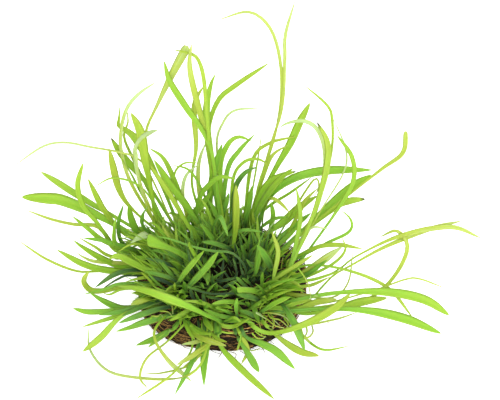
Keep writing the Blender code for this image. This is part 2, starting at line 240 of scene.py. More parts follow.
# A kind of small leaf: how many, the part of the pad where it has its foot, its length and width in
# millimetres, its lean from upright at the foot and the further bend, both in degrees, how far it
# strays from pointing outwards, in radians, and its tone. Pairs are the least and the most
Kind = namedtuple("Kind", "count directions ring length width lean bend stray tone")
# The first kinds, with their feet nearest the middle, have the lowest tones, down to near black green:
# painted shade deep in the mass
KINDS = (
    Kind(70, (0, 360), (6, 12), (6, 13), (0.9, 1.6), (5, 60), (0, 40), 3.1, (-0.10, 0.12)),
    Kind(210, (0, 360), (10, 24), (10, 21), (1.1, 2.1), (10, 60), (0, 35), 2.0, (0.06, 0.36)),
    Kind(100, (0, 360), (15, 30), (15, 28), (1.4, 2.5), (15, 60), (5, 35), 1.3, (0.26, 0.58)),
    Kind(50, (15, 165), (18, 32), (12, 32), (1.3, 2.5), (3, 45), (5, 45), 1.2, (0.42, 0.74)),
    Kind(64, (140, 230), (14, 33), (20, 38), (1.9, 3.0), (30, 68), (10, 40), 0.9, (0.36, 0.72)),
    Kind(28, (-60, 40), (18, 33), (20, 38), (1.6, 2.8), (30, 66), (10, 40), 1.1, (0.38, 0.70)),
    Kind(30, (205, 335), (18, 30), (14, 28), (1.5, 2.5), (40, 68), (5, 20), 1.5, (0.34, 0.64)),
    Kind(60, (25, 155), (25, 33), (14, 26), (1.4, 2.5), (35, 75), (30, 75), 0.9, (0.38, 0.70)),
)

# Each leaf: its name, its tint, its width, the share of that width which its stem has, the height of
# its tip, how far it bows out to the viewer half way, how much yellower it is than its tint, and the
# points that it passes in the picture, from its foot on the pad to its tip. Lengths are in
# millimetres and points in pixels. How much yellower a leaf is holds its own colour and, in part,
# painted light and shade, set leaf by leaf
Leaf = namedtuple("Leaf", "name tint width stem tip_height bow shade seen")
LEAVES = [Leaf(*row[:7], row[7:]) for row in (
    ("left_thread_leaf", "lime", 1, 0.8, 50, 0, 0.25, (178, 238), (155, 185), (140, 160), (118, 152),
     (90, 147), (65, 142.5), (43, 146.5), (14, 166)),
    ("left_rising_leaf", "mid", 3, 0.45, 45, 0, 0.06, (172, 252), (140, 232), (115, 217), (95, 206),
     (75, 194), (58, 183), (41, 172)),
    ("left_broad_leaf", "lime", 5, 0.45, 36, 0, -0.12, (165, 255), (115, 225), (88, 211), (62, 200.5),
     (48, 198.7), (22, 197)),
    ("left_upright_leaf", "mid", 2.4, 0.5, 58, 0, 0.03, (152, 261), (118, 250), (98, 224), (83, 206),
     (77.5, 185), (83, 163)),
    ("left_small_leaf", "mid", 2.5, 0.5, 48, 0, 0.09, (162, 252), (125, 235), (106, 213), (99, 202),
     (88, 179)),
    ("left_bladed_leaf", "mid", 3, 0.35, 62, 0, 0.19, (175, 240), (155, 229), (130, 207), (119, 190),
     (113, 168), (109, 149)),
    ("left_slender_leaf", "mid", 2.9, 0.5, 60, 0, 0.03, (178, 232), (150, 188), (133, 168), (120, 153),
     (111, 138)),
    ("pale_crook_leaf", "pale", 1.6, 0.9, 79, 6, 0.05, (165, 238), (132, 185), (121, 150), (121.5, 128),
     (125, 113), (131, 102), (141, 92), (156, 82)),
    ("kinked_leaf", "mid", 3.2, 0.5, 72, 0, 0.18, (180, 230), (160, 182), (138, 143), (127, 131),
     (118.5, 126), (119, 118), (120, 105)),
    ("big_left_leaf", "lime", 3.8, 0.45, 76, 0, 0, (162, 242), (156, 220), (151, 190), (145, 160),
     (140, 132), (131, 113)),
    ("hooked_leaf", "pale", 1.6, 0.7, 55, 9, 0.03, (163, 240), (143, 195), (135, 158), (138, 142),
     (150, 134), (158, 130)),
    ("tall_folded_leaf", "pale", 4, 0.3, 95, -6, -0.1, (166, 240), (150, 192), (145, 150), (147, 128),
     (156, 108), (166, 87), (173, 73), (180, 60), (188, 46)),
    ("tall_crook_leaf", "lime", 1.8, 0.7, 95, 6, -0.03, (212, 228), (210, 160), (206, 105), (203, 75),
     (197, 58), (188, 53), (174, 50)),
    ("crossing_leaf", "mid", 2.9, 0.5, 88, 6, 0.08, (222, 235), (213, 160), (203, 132), (187, 109),
     (170, 82), (164, 61)),
    ("straw_leaf", "pale", 2.5, 0.6, 99, 0, -0.06, (226, 237), (212, 160), (204, 128), (194, 90),
     (189.5, 65), (191.5, 44)),
    ("upright_leaf", "mid", 3.3, 0.6, 78, 0, -0.04, (221, 231), (212, 165), (207, 128), (207, 103),
     (211.5, 83), (215.5, 74)),
    ("narrow_upright_leaf", "lime", 2.4, 0.45, 66, 8, 0, (206, 228), (192, 185), (196, 148), (194, 115),
     (195.5, 100), (203, 87)),
    ("long_arched_leaf", "lime", 2.2, 0.6, 77, 0, -0.04, (224, 233), (213, 170), (209, 130), (218, 101),
     (235, 86), (269, 63)),
    ("thin_arched_leaf", "lime", 1.1, 0.8, 53, 0, 0.22, (230, 229), (217, 150), (223, 123), (236, 110),
     (264, 109)),
    ("tallest_arched_leaf", "lime", 1.4, 0.7, 106, 0, 0.08, (250, 236), (258, 187), (273, 143),
     (281, 100), (280, 60), (270, 28), (249, 12), (218, 20)),
    ("tallest_straight_leaf", "pale", 1.6, 0.7, 119, 0, -0.04, (246, 232), (253, 207), (270, 148),
     (282, 108), (285, 60), (285.5, 35), (295, 1)),
    ("right_upper_leaf", "lime", 3.5, 0.5, 65, 0, -0.08, (250, 232), (262, 195), (276, 168), (290, 144),
     (300, 122), (310, 103)),
    ("pale_right_crook_leaf", "pale", 1.8, 0.5, 62, 0, 0.05, (286, 271), (303, 235), (316, 205),
     (324, 172), (324, 147), (317, 129), (304, 121), (288, 123), (279, 128)),
    ("right_bowed_leaf", "mid", 2.7, 0.5, 70, 0, 0.22, (275, 297), (291, 266), (312, 218), (326, 172),
     (327.5, 143), (317, 122)),
    ("right_slim_bowed_leaf", "lime", 1.2, 0.8, 79, 0, -0.1, (290, 262), (315, 215), (331, 155),
     (332, 118), (326, 104), (304, 85)),
    ("right_thread_leaf", "mid", 0.8, 0.8, 66, 0, 0.38, (291, 266), (318, 215), (343, 174), (346, 150),
     (333, 118)),
    ("right_curved_leaf", "lime", 2.1, 0.5, 62, 0, -0.16, (294, 270), (311, 247), (336, 212), (353, 182),
     (352, 157), (337, 135)),
    ("right_level_leaf", "lime", 3.7, 0.4, 44, 0, -0.23, (255, 240), (265, 205), (278, 188), (300, 176),
     (330, 170.5), (372, 170)),
    ("right_upturned_leaf", "lime", 2.1, 0.5, 62, 0, 0, (270, 262), (300, 235), (345, 198), (382, 169),
     (403, 153), (406, 131)),
    ("right_broad_leaf", "lime", 3.7, 0.4, 40, 0, -0.24, (268, 262), (292, 240), (330, 205), (352, 187),
     (371, 175)),
    ("right_leaf", "mid", 3.3, 0.5, 29, 0, 0.1, (276, 257), (300, 235), (335, 207), (350, 201),
     (365, 199)),
    ("right_far_leaf", "lime", 2.1, 0.4, 24, 0, 0.13, (293, 282), (318, 279), (338, 270), (357, 256),
     (400, 236), (450, 227), (481, 238)),
    ("right_farther_leaf", "lime", 2, 0.4, 30, 0, 0.12, (290, 296), (312, 297), (322, 287), (334, 275),
     (350, 266), (385, 247), (430, 229), (461, 221)),
    ("right_curled_leaf", "mid", 1.8, 0.6, 26, 0, 0.27, (280, 306), (310, 308), (340, 304), (372, 297),
     (396, 274), (407.5, 247), (397, 231), (380, 237)),
    ("right_low_thread_leaf", "lime", 0.8, 0.8, 14, 0, 0.08, (288, 300), (320, 304), (372, 291),
     (405, 279.5), (420, 279), (447, 289)),
    ("right_low_leaf", "mid", 1.5, 0.7, 4, 0, 0.17, (283, 274), (310, 265), (350, 271), (388, 288),
     (413, 318)),
    ("right_long_leaf", "lime", 4, 0.4, 7, 0, -0.17, (275, 305), (315, 296), (350, 292), (390, 292.5),
     (425, 300), (449, 315)),
    ("right_lower_leaf", "lime", 3.8, 0.45, 4, 0, -0.2, (270, 313), (320, 309), (365, 310.5), (405, 319),
     (441, 333.5)),
    ("right_middle_leaf", "mid", 3.4, 0.45, 13, 0, 0.16, (278, 306), (300, 313), (315, 313), (340, 308),
     (362, 302), (387, 298)),
    ("front_sweeping_leaf", "lime", 3.2, 0.5, 21, 16, 0.04, (236, 304), (254, 327), (275, 333),
     (308, 323), (335, 308), (350, 294)),
    ("front_left_broad_leaf", "lime", 2.8, 0.6, 34, 14, -0.18, (224, 322), (208, 316), (195, 309.5),
     (180, 303), (150, 292), (133, 288), (118, 286)),
    ("front_right_leaf", "mid", 3, 0.5, 6, 5, -0.29, (270, 297), (281, 303), (294, 323), (305, 351)),
    ("front_right_lime_leaf", "lime", 2.9, 0.5, 5, 0, 0.02, (256, 314), (276, 335), (299, 351),
     (319, 356)),
    ("front_short_leaf", "mid", 3.1, 0.5, 3, 0, -0.22, (240, 325), (246, 337), (262, 344), (277, 352),
     (295, 369)),
    ("front_long_leaf", "lime", 2.7, 0.5, 1.2, 0, -0.07, (217, 323), (220, 345), (240, 368), (274, 399)),
    ("front_pad_leaf", "mid", 2.8, 0.5, 2.5, 0, -0.28, (232, 322), (238, 338), (247, 352), (259, 372)),
    ("front_middle_leaf", "mid", 3.5, 0.9, 1.2, 0, -0.16, (207, 320), (206, 343), (204, 365), (204, 386)),
    ("front_left_leaf", "mid", 1.9, 0.5, 2.4, 3, -0.3, (198, 318), (199, 343), (190, 366), (175, 394.5)),
    ("front_left_pale_leaf", "lime", 1.7, 0.6, 1.5, 6, 0.16, (168, 312), (154, 334), (167, 359),
     (191, 381)),
    ("front_left_thin_leaf", "lime", 0.9, 0.8, 2.6, 5, 0.07, (190, 322), (192, 348), (178, 368),
     (165, 380), (136, 399)),
    ("front_left_curl_leaf", "lime", 1, 0.8, 1.2, 0, 0.05, (190, 318), (168, 341), (147, 358), (140, 377),
     (148, 389)),
    ("left_looping_leaf", "lime", 1.2, 0.8, 10, 0, 0.16, (212, 324), (207, 348), (198, 368), (178, 378.5),
     (140, 378), (108, 371), (90, 350), (88.5, 327)),
    ("left_low_leaf", "mid", 2.7, 0.5, 2, 0, 0.06, (166, 302), (125, 314), (100, 338), (83, 351.5)),
    ("left_level_leaf", "mid", 2.3, 0.6, 8, 0, -0.15, (166, 298), (130, 308), (92, 312), (73, 308.5)),
    ("left_middle_leaf", "mid", 3.1, 0.5, 24, 0, 0.1, (160, 274), (115, 271.5), (85, 265), (57, 250)),
    ("left_curled_leaf", "lime", 2.6, 0.6, 18, 0, 0, (160, 284), (125, 287), (103, 291), (90, 290),
     (83.5, 281), (89, 271)),
    ("left_faint_leaf", "lime", 1.4, 1.5, 33, 0, 0.1, (158, 260), (117, 251), (107, 237), (96, 226),
     (74, 224.5), (50, 219), (26, 210)),
    ("left_far_thin_leaf", "lime", 1.15, 0.7, 25, 0, 0.04, (163, 271), (100, 271.5), (76, 271), (46, 259),
     (19, 241)),
)]

# Short leaves that stand out in the picture, in the same form but without a bow
SHORT_LEAVES = [Leaf(*row[:5], 0, row[5], row[6:]) for row in (
    ("companion", "mid", 1, 0.6, 54, 0, (180, 232), (154, 213), (142, 195), (130, 172), (119, 155)),
    ("zigzag", "lime", 1.3, 0.7, 66, 0, (172, 238), (136, 165), (124, 137), (128, 122), (126, 105)),
    ("small_arch", "mid", 2.2, 0.7, 50, 0, (196, 230), (184, 206), (174, 180), (163, 158), (149, 148)),
    ("inner_right", "lime", 2, 0.5, 46, -0.07, (283, 285), (293, 256), (300, 222), (299, 203),
     (296, 187)),
    ("dark_right", "dark", 1.7, 0.6, 30, 0.14, (252, 238), (262, 227), (275, 219), (288, 217)),
    ("pale_right", "pale", 1.6, 0.6, 42, -0.08, (280, 245), (300, 212), (304, 202), (318, 188)),
    ("thin_diagonal", "pale", 1.3, 0.8, 40, -0.3, (255, 230), (261, 214), (272, 204), (290, 193),
     (312, 177)),
    ("small_curl", "mid", 1, 0.8, 36, 0.21, (276, 240), (312, 182), (319, 186), (314, 197)),
    ("front_pad_curve", "mid", 1.7, 0.6, 3.5, 0.3, (234, 322), (240, 334), (248, 350), (241.5, 364)),
    ("front_lime_a", "lime", 2.1, 0.6, 13, 0.16, (213, 322), (214, 338), (195, 354), (177, 365)),
    ("front_lime_b", "lime", 1.2, 0.6, 7, 0.05, (207, 322), (207, 346), (200, 355), (182, 368)),
    ("front_level", "lime", 2.4, 0.7, 19, 0.05, (188, 322), (195, 334), (208, 340.5), (226, 346)),
    ("front_level_b", "lime", 1.6, 0.6, 15, 0.16, (208, 324), (207, 336), (196, 342), (182, 344.5)),
    ("front_wisp", "mid", 0.8, 0.9, 1, 0.21, (202, 320), (200, 352), (188, 366), (160, 373.3),
     (143, 373)),
    ("left_low_a", "lime", 1.7, 0.6, 6, -0.08, (160, 300), (130, 312), (98, 322), (82, 327)),
    ("left_low_b", "mid", 2.1, 0.6, 7, -0.12, (180, 308), (165, 316), (132, 327), (116, 331.5)),
    ("left_low_c", "mid", 2.7, 0.6, 4, -0.13, (182, 318), (172, 329), (155, 339), (136, 345.5)),
    ("left_low_d", "mid", 1.8, 0.6, 3, -0.07, (180, 316), (176, 327), (160, 338), (148, 347.5)),
    ("left_level_a", "mid", 1.3, 0.7, 12, -0.2, (158, 282), (120, 284), (105, 289), (83, 294.5)),
    ("left_level_b", "mid", 2.9, 0.7, 14, -0.16, (166, 300), (140, 307), (122, 309), (105, 302),
     (90, 293)),
    ("left_level_c", "dark", 2.1, 0.6, 16, -0.2, (165, 275), (135, 270), (115, 274.5), (95, 287.5)),
    ("left_level_d", "dark", 0.9, 0.8, 12, -0.24, (160, 278), (130, 275.5), (118, 279), (102, 289)),
    ("left_level_e", "dark", 1.1, 0.8, 14, 0.3, (160, 290), (125, 289), (110, 294.5), (103, 293)),
    ("left_side_a", "mid", 2.7, 0.6, 30, 0, (165, 266), (125, 267), (102, 259), (82, 247), (73, 240)),
    ("left_side_b", "mid", 1.3, 0.7, 31, 0.17, (160, 262), (113, 257), (95, 247), (78, 237)),
    ("left_side_c", "mid", 1.7, 0.7, 33, -0.23, (158, 256), (112, 243), (103, 240.5), (83, 238)),
    ("left_side_d", "pale", 1.5, 0.7, 24, 0, (158, 264), (100, 262), (84, 257.5), (76, 252)),
    ("left_side_e", "mid", 2.3, 0.6, 38, -0.06, (158, 259), (108, 243), (88, 229), (72, 216)),
    ("folded", "lime", 5, 0.5, 34, -0.29, (200, 268), (186, 257), (172, 249.5), (158, 244), (147, 240)),
    ("folded_tip", "pale", 3.4, 1, 37, 0.1, (160, 250), (152, 240), (146, 236), (139, 238), (131, 243)),
    ("hooked_front", "pale", 2.4, 0.3, 84, -0.02, (165, 238), (143, 190), (136, 158), (137, 145),
     (145, 135.5), (158, 130)),
    ("folded_thin", "lime", 0.9, 0.8, 28, -0.1, (180, 255), (147, 245), (130, 245), (118, 252)),
    ("centre_arc", "mid", 1, 0.9, 32, -0.29, (246, 284), (245, 267), (232, 253), (212, 251), (190, 246),
     (170, 239), (148, 235)),
    ("left_broad_b", "lime", 3.2, 0.6, 27, -0.15, (182, 280), (155, 273), (135, 264), (118, 256),
     (109, 259)),
    ("cross_a", "lime", 2.4, 0.6, 30, -0.3, (176, 293), (180, 280), (193, 263), (204, 251)),
    ("cross_b", "lime", 2.8, 0.6, 30, -0.3, (182, 294), (190, 285), (206, 268), (218, 252)),
    ("cross_c", "mid", 2.1, 0.6, 38, 0.06, (210, 275), (201, 265), (190, 248), (189, 242)),
    ("bright_upright", "lime", 2.9, 0.5, 50, 0.07, (232, 255), (235.5, 230), (236.5, 205), (236, 185)),
    ("centre_a", "mid", 2.1, 0.6, 24, -0.3, (236, 256), (230, 249), (212, 243), (202, 242)),
    ("centre_b", "mid", 1.5, 0.6, 26, -0.27, (220, 250), (229, 236), (245, 230), (262, 232)),
    ("inverted", "mid", 1.9, 0.7, 28, -0.29, (214, 248), (213, 230), (220, 217), (228, 236)),
    ("thin_lime", "lime", 1.3, 0.7, 45, -0.17, (217, 244), (214, 229), (206, 207), (200, 198)),
    ("pale_arch", "mid", 2, 0.8, 46, 0, (195, 232), (199, 200), (210, 184), (221, 177), (236, 179)),
    ("centre_c", "mid", 2.1, 0.6, 34, -0.19, (219, 252), (213, 240), (200, 224)),
    ("back_left_broad", "mid", 3.3, 0.5, 52, 0, (207, 236), (187, 207), (168, 182), (154, 160)),
    ("back_left_lime", "lime", 2.1, 0.6, 54, -0.06, (202, 249), (187, 224), (170, 195), (150, 165)),
    ("right_inner_a", "lime", 1.9, 0.6, 34, 0, (272, 297), (274, 276), (278, 252), (272, 232)),
    ("right_inner_b", "mid", 3, 0.6, 30, -0.3, (274, 279), (271, 269), (266, 258), (257, 245)),
    ("right_inner_c", "dark", 1.9, 0.6, 28, 0, (250, 282), (256, 272), (260, 250)),
    ("cut_end", "lime", 2.4, 0.9, 22, -0.26, (268, 298), (257, 292), (247, 290), (237, 290)),
    ("star_a", "mid", 2.1, 0.5, 22, -0.14, (250, 306), (240, 303), (225, 302), (212, 304)),
    ("star_b", "mid", 1.7, 0.6, 24, -0.3, (238, 320), (236, 308), (237, 298)),
    ("front_short_a", "lime", 1.9, 0.7, 22, -0.17, (207, 302), (193, 308), (170, 321)),
    ("front_short_b", "mid", 2.4, 0.6, 17, 0.05, (203, 315), (208, 325), (213, 331)),
    ("front_short_c", "mid", 1.7, 0.6, 10, -0.08, (185, 318), (195, 328), (212, 336)),
    ("front_short_d", "pale", 2.4, 0.7, 30, -0.05, (160, 300), (148, 299), (131, 305)),
    ("right_fan_a", "mid", 3.4, 0.6, 32, 0.07, (256, 243), (270, 231), (285, 221), (300, 207),
     (317, 196)),
    ("right_fan_b", "mid", 2.4, 0.7, 25, -0.14, (266, 250), (280, 238), (296, 225), (311, 213)),
    ("right_fan_c", "mid", 2.2, 0.7, 21, -0.1, (270, 254), (281, 243), (290, 234), (298, 227)),
    ("right_fan_f", "mid", 2.2, 0.9, 32, -0.11, (271, 240), (271, 228), (273, 215), (271, 202)),
    ("right_fan_g", "lime", 1.5, 0.8, 36, 0, (262, 230), (264, 212), (270, 199), (279, 202), (290, 213)),
    ("right_fan_h", "lime", 1.4, 0.6, 33, 0.2, (262, 241), (267, 232), (274, 222)),
    ("right_side_a", "lime", 1.9, 0.6, 26, -0.03, (284, 263), (315, 248), (338, 245), (363, 249)),
    ("right_side_b", "mid", 1.3, 0.7, 40, -0.09, (282, 267), (325, 244), (349, 232), (351, 220),
     (340, 209)),
    ("right_side_c", "mid", 1.3, 0.7, 34, 0.09, (283, 287), (328, 267), (345, 251), (342, 237)),
    ("right_side_d", "lime", 3, 0.6, 28, 0.16, (288, 280), (312, 268), (342, 247)),
    ("right_side_e", "dark", 1.9, 0.6, 26, 0, (288, 282), (308, 274), (327, 260)),
    ("right_side_f", "lime", 1.7, 0.6, 30, 0.05, (262, 292), (280, 276), (313, 255)),
    ("right_wisp", "mid", 0.8, 0.9, 26, 0.3, (290, 294), (330, 298), (348, 283), (353, 250)),
    ("right_pale_wisp", "pale", 0.9, 0.8, 32, 0, (283, 262), (309, 230), (322, 228), (330, 230)),
    ("right_low_curl", "mid", 1, 0.8, 3, 0.12, (280, 310), (300, 333), (322, 349.5), (350, 346)),
    ("right_low_lime", "lime", 0.9, 0.8, 8, 0.16, (283, 306), (300, 324), (335, 319.5), (358, 312)),
    ("back_a", "mid", 2.3, 0.7, 48, 0.04, (224, 228), (220, 170), (227, 146), (238, 137), (252, 141)),
    ("back_b", "mid", 2.1, 0.7, 50, -0.05, (221, 230), (227, 172), (239, 151), (255, 134)),
    ("back_c", "mid", 3.2, 0.7, 50, -0.21, (209, 228), (210, 196), (214, 172), (222, 144)),
    ("back_d", "lime", 1.7, 0.6, 52, 0, (243, 229), (252, 163), (268, 144), (298, 136)),
    ("back_e", "mid", 1.7, 0.6, 50, 0.22, (246, 229), (262, 180), (272, 156), (288, 145)),
    ("back_f", "lime", 1.5, 0.7, 42, -0.07, (230, 228), (233, 180), (243, 163), (257, 159), (271, 166)),
    ("back_g", "dark", 2.2, 0.7, 42, -0.09, (232, 230), (235, 190), (245, 173), (257, 167)),
    ("back_h", "mid", 2.9, 0.7, 48, 0.1, (250, 232), (258, 202), (268, 184), (281, 176), (296, 171.5)),
    ("back_h_lime", "lime", 3, 0.7, 55, -0.21, (250, 234), (258, 212), (270, 192), (282, 178),
     (293, 168.5)),
    ("back_m", "dark", 2.6, 0.8, 34, 0.07, (243, 234), (247, 214), (250, 199), (252, 186)),
    ("back_o", "mid", 1.9, 0.7, 50, 0.42, (206, 230), (199, 190), (199, 163), (206, 142)),
    ("back_p", "dark", 2.9, 0.8, 34, 0.17, (178, 234), (190, 218), (202, 205), (212, 191)),
    ("back_q", "dark", 2.5, 0.8, 30, -0.03, (214, 234), (221, 217), (226, 204), (229, 193)),
    ("back_r", "mid", 2.2, 0.8, 32, -0.3, (222, 236), (219, 222), (214, 210), (208, 200)),
    ("back_i", "mid", 0.8, 0.8, 54, 0.13, (245, 230), (256, 170), (262, 132)),
    ("back_j", "mid", 1.1, 0.7, 48, 0.08, (182, 232), (174, 180), (183, 164), (199, 163)),
    ("back_k", "mid", 1.1, 0.7, 46, -0.08, (215, 229), (204, 195), (190, 171), (172, 165)),
    ("back_l", "mid", 1.5, 0.7, 46, 0.42, (190, 232), (183, 197), (186, 176), (199, 164)),
    ("left_dark_thread", "dark", 0.9, 0.9, 46, 0.3, (170, 238), (145, 191), (115, 178), (94, 187)),
    ("left_dark_a", "dark", 1.9, 0.6, 42, -0.09, (155, 256), (124, 245), (118, 225), (123.5, 204)),
    ("left_dark_b", "mid", 3.2, 0.7, 42, -0.17, (162, 250), (140, 236), (131, 220), (128, 205)),
    ("left_dark_c", "dark", 1.5, 0.6, 42, 0, (165, 244), (144, 228), (143, 216), (148, 206)),
    ("left_dark_d", "dark", 1.7, 0.6, 42, 0.14, (154, 258), (118, 246), (114, 230), (116, 217)),
    ("pointing_out", "mid", 2.5, 0.7, 20, -0.2, (207, 250), (205, 260), (207.5, 272), (207.5, 285)),
    ("long_level", "dark", 1, 0.8, 20, -0.24, (266, 300), (252, 296), (235, 293.5), (213, 294),
     (190, 289)),
    ("small_point", "lime", 1.1, 0.8, 32, -0.04, (176, 297), (175, 290), (174.5, 283)),
    ("left_pair_a", "lime", 0.9, 0.8, 29, -0.1, (162, 294), (157, 290), (150, 281), (141, 272)),
    ("left_pair_b", "mid", 0.9, 0.8, 24, -0.21, (176, 293), (165, 289), (156, 282), (146, 271)),
    ("left_line", "lime", 0.8, 0.8, 30, -0.12, (172, 268), (162, 268), (152, 266), (138, 259)),
    ("left_under_a", "dark", 2.2, 0.7, 24, -0.06, (190, 272), (180, 260), (168, 253), (152, 250)),
    ("left_under_b", "dark", 2, 0.7, 22, -0.24, (184, 276), (174, 269), (162, 262), (146, 258)),
    ("left_under_c", "mid", 2, 0.7, 20, -0.29, (182, 286), (172, 279), (160, 275), (143, 271)),
    ("left_under_d", "dark", 1.8, 0.7, 18, -0.22, (178, 288), (168, 283), (158, 279), (144, 277)),
    ("left_under_e", "dark", 2.4, 0.7, 14, -0.12, (184, 300), (162, 300), (142, 307), (122, 316)),
    ("left_under_h", "dark", 2.4, 0.7, 13, -0.08, (176, 304), (150, 303), (124, 311), (99, 315)),
    ("left_under_f", "dark", 2.4, 0.7, 12, -0.11, (184, 306), (162, 308), (140, 315), (119, 323)),
    ("left_under_g", "mid", 2.6, 0.7, 9, -0.3, (184, 314), (164, 317), (146, 322), (128, 327)),
    ("inner_a", "dark", 1.5, 0.7, 24, -0.16, (247, 264), (246, 257), (243, 250), (241, 245)),
    ("inner_b", "dark", 1.2, 0.7, 24, -0.2, (246, 266), (249, 258), (253, 249)),
    ("inner_c", "dark", 1.4, 0.7, 20, -0.06, (258, 276), (254, 269), (250, 264), (246, 259)),
    ("inner_d", "mid", 1.7, 0.7, 18, -0.3, (250, 290), (244, 285), (240, 281), (236, 277)),
    ("inner_e", "mid", 1.5, 0.7, 22, -0.25, (262.5, 291), (262, 282), (262.5, 272)),
    ("inner_f", "dark", 1.5, 0.7, 20, -0.22, (272, 279), (264, 271), (258, 266), (250, 262)),
    ("inner_g", "dark", 1.2, 0.7, 18, -0.1, (253, 287), (248, 282), (242, 278)),
    ("inner_h", "deep", 1, 0.7, 26, 0.14, (248, 256), (248, 246), (250, 234)),
    ("inner_i", "deep", 1, 0.7, 18, -0.1, (237, 277), (236, 268), (233, 258)),
    ("inner_j", "deep", 1.2, 0.7, 22, 0.27, (229, 264), (225, 258), (219, 251)),
    ("inner_k", "dark", 1.3, 0.7, 16, -0.24, (212, 283), (222, 281), (236, 278)),
    ("inner_l", "deep", 1.3, 0.7, 14, 0.1, (222, 300), (214, 298), (205, 296)),
    ("inner_m", "dark", 2.4, 0.7, 18, -0.1, (264, 306), (256, 299), (246, 296), (236, 294)),
    ("inner_n", "dark", 2, 0.7, 14, -0.06, (262, 320), (256, 317), (248, 313), (239, 310)),
    ("inner_o", "deep", 1.6, 0.7, 16, -0.05, (206, 306), (204, 300), (203, 292)),
    ("inner_p", "dark", 1.6, 0.7, 16, -0.23, (196, 302), (192, 296), (190, 288)),
    ("inner_q", "dark", 1.3, 0.7, 18, -0.05, (214, 268), (218, 262), (224, 258)),
    ("inner_r", "mid", 1.2, 0.7, 20, -0.3, (207, 268), (210, 266), (215, 267)),
    ("front_forked", "lime", 1.6, 0.8, 21, -0.11, (204, 312), (211, 318), (221, 325), (233, 326.5),
     (249, 319)),
    ("front_slip", "lime", 1.5, 0.7, 14, -0.13, (181, 314), (185, 323), (189, 332), (195, 340)),
    ("front_mid", "mid", 1.9, 0.7, 17, 0, (186, 320), (193, 328), (200, 333), (211, 334.5)),
    ("front_down", "mid", 3, 0.8, 10, -0.3, (216, 312), (217, 322), (217.5, 331), (217, 341)),
    ("front_nib", "lime", 1.2, 0.7, 14, -0.08, (208, 328), (214, 336), (220, 340), (227, 342)),
    ("front_nib_b", "lime", 1.2, 0.7, 19, -0.19, (222, 322), (228, 320), (234, 317.5), (241, 322)),
    ("front_behind", "mid", 2, 0.9, 20, -0.16, (240, 318), (228, 317.5), (214, 314), (204, 309)),
    ("front_upright", "mid", 2.3, 0.8, 15, -0.2, (252, 294), (253.5, 305), (256, 314), (259, 322.5)),
    ("front_slant", "lime", 2.2, 0.7, 22, -0.3, (260, 313), (270, 306), (279, 301), (290, 297)),
    ("front_stub", "pale", 2, 1, 24, 0.2, (266, 319), (262, 316), (256, 313)),
    ("front_nib_c", "pale", 1, 0.7, 4, -0.29, (241, 334), (240, 341), (237, 351)),
    ("right_level_a", "mid", 2, 0.7, 14, 0.15, (278, 310), (288, 306), (299, 302), (312, 300)),
    ("right_level_c", "dark", 2.2, 0.7, 12, 0.3, (262, 310), (272, 308), (282, 308), (294, 313)),
    ("right_level_e", "lime", 2.6, 0.6, 13, 0.11, (285, 312), (300, 308), (318, 302), (337, 299)),
    ("right_level_f", "mid", 1.2, 0.8, 22, 0.12, (285, 288), (300, 282), (316, 279), (340, 271)),
    ("right_level_g", "mid", 1.3, 0.8, 20, 0.19, (282, 290), (296, 287), (312, 285), (330, 277)),
    ("right_level_d", "mid", 2, 0.7, 18, 0.3, (278, 292), (290, 294), (302, 296), (318, 296)),
)]

# Pale roots and thin runners: the width, the heights of the two ends and the points in the picture
ROOTS = (
    (0.8, 13, 13, [(262, 313), (272, 313), (283, 316), (291, 322)]),
    (0.7, 13, 13, [(264, 315), (268, 320), (276, 326), (284, 328)]),
    (0.7, 13, 13, [(268, 313), (271, 318), (280, 320), (288, 327)]),
    (0.7, 13, 13, [(275, 313), (285, 313), (290, 317), (289, 321)]),
    (0.8, 13, 13, [(262, 319), (264, 315), (266, 319), (265, 323)]),
    (0.7, 13, 13, [(272, 316), (274, 322), (273, 327)]),
    (0.6, 13, 12, [(284, 318), (288, 324), (286, 329)]),
    (1.0, 10, 3, [(300, 326), (303, 335), (308, 337.5), (313, 332), (312, 324), (316, 320)]),
    (0.9, 9, 3, [(306, 325), (307, 332), (304, 338)]),
    (0.9, 9, 4, [(302, 326), (300, 333), (304, 338), (310, 342)]),
    (0.7, 13, 13, [(151, 319), (152, 316), (157, 316.5), (161, 314.5), (163, 318)]),
    (0.8, 16, 14, [(171, 302), (172.5, 308), (173, 314)]),
    (0.7, 14, 14, [(160, 311), (168, 312), (173, 317)]),
    (0.8, 13, 11, [(221, 331.5), (228, 333), (238, 332.5), (248, 331)]),
    (0.7, 11, 8, [(252, 333), (257, 338), (263, 338.5), (265, 336)]),
    (0.6, 11, 8, [(255, 331), (260, 335), (266, 337)]),
    (0.5, 3, 1, [(249, 350), (254, 350.5), (260, 348)]),
    (0.6, 30, 16, [(298, 268), (305, 278), (309, 287), (311, 300)]),
    (0.6, 13, 18, [(281, 269), (282, 263), (283, 258)]),
    (0.5, 13, 18, [(286, 269), (287, 263), (289, 259)]),
)

# Fibres that stick out at the lower edge of the pad: the points in the picture, all near the floor
EDGE_FIBRES = (
    [(180, 342), (184, 347), (190, 349)],
    [(196, 345), (200, 350), (207, 351)],
    [(208, 348), (214, 352), (221, 354)],
    [(222, 350), (221, 354), (218, 358)],
    [(231, 352), (236, 354), (235, 359)],
    [(240, 351), (246, 354), (252, 352)],
    [(250, 347), (258, 350), (266, 348)],
    [(255, 345), (262, 348), (265, 353)],
    [(264, 338), (269, 340), (274, 344)],
    [(268, 336), (275, 337), (282, 335)],
    [(166, 334), (163, 338), (158, 339)],
    [(225, 352), (229, 356), (230, 361)],
    [(325, 321), (332, 324.5), (339, 328)],
)


def polar(radius, angle, height=0.0):
    return Vector((radius * math.cos(angle), radius * math.sin(angle), height))


def radius_of(place):
    return math.hypot(place.x, place.y)


def angle_of(place):
    return math.atan2(place.y, place.x)


def direction_at(line, k, before=1, after=1):
    """Which way a line runs at its point k."""
    return (line[min(k + after, len(line) - 1)] - line[max(k - before, 0)]).normalized()


def square_to(direction, along):
    return direction - along * direction.dot(along)


def ease(value):
    value = min(1.0, max(0.0, value))
    return value * value * (3.0 - 2.0 * value)


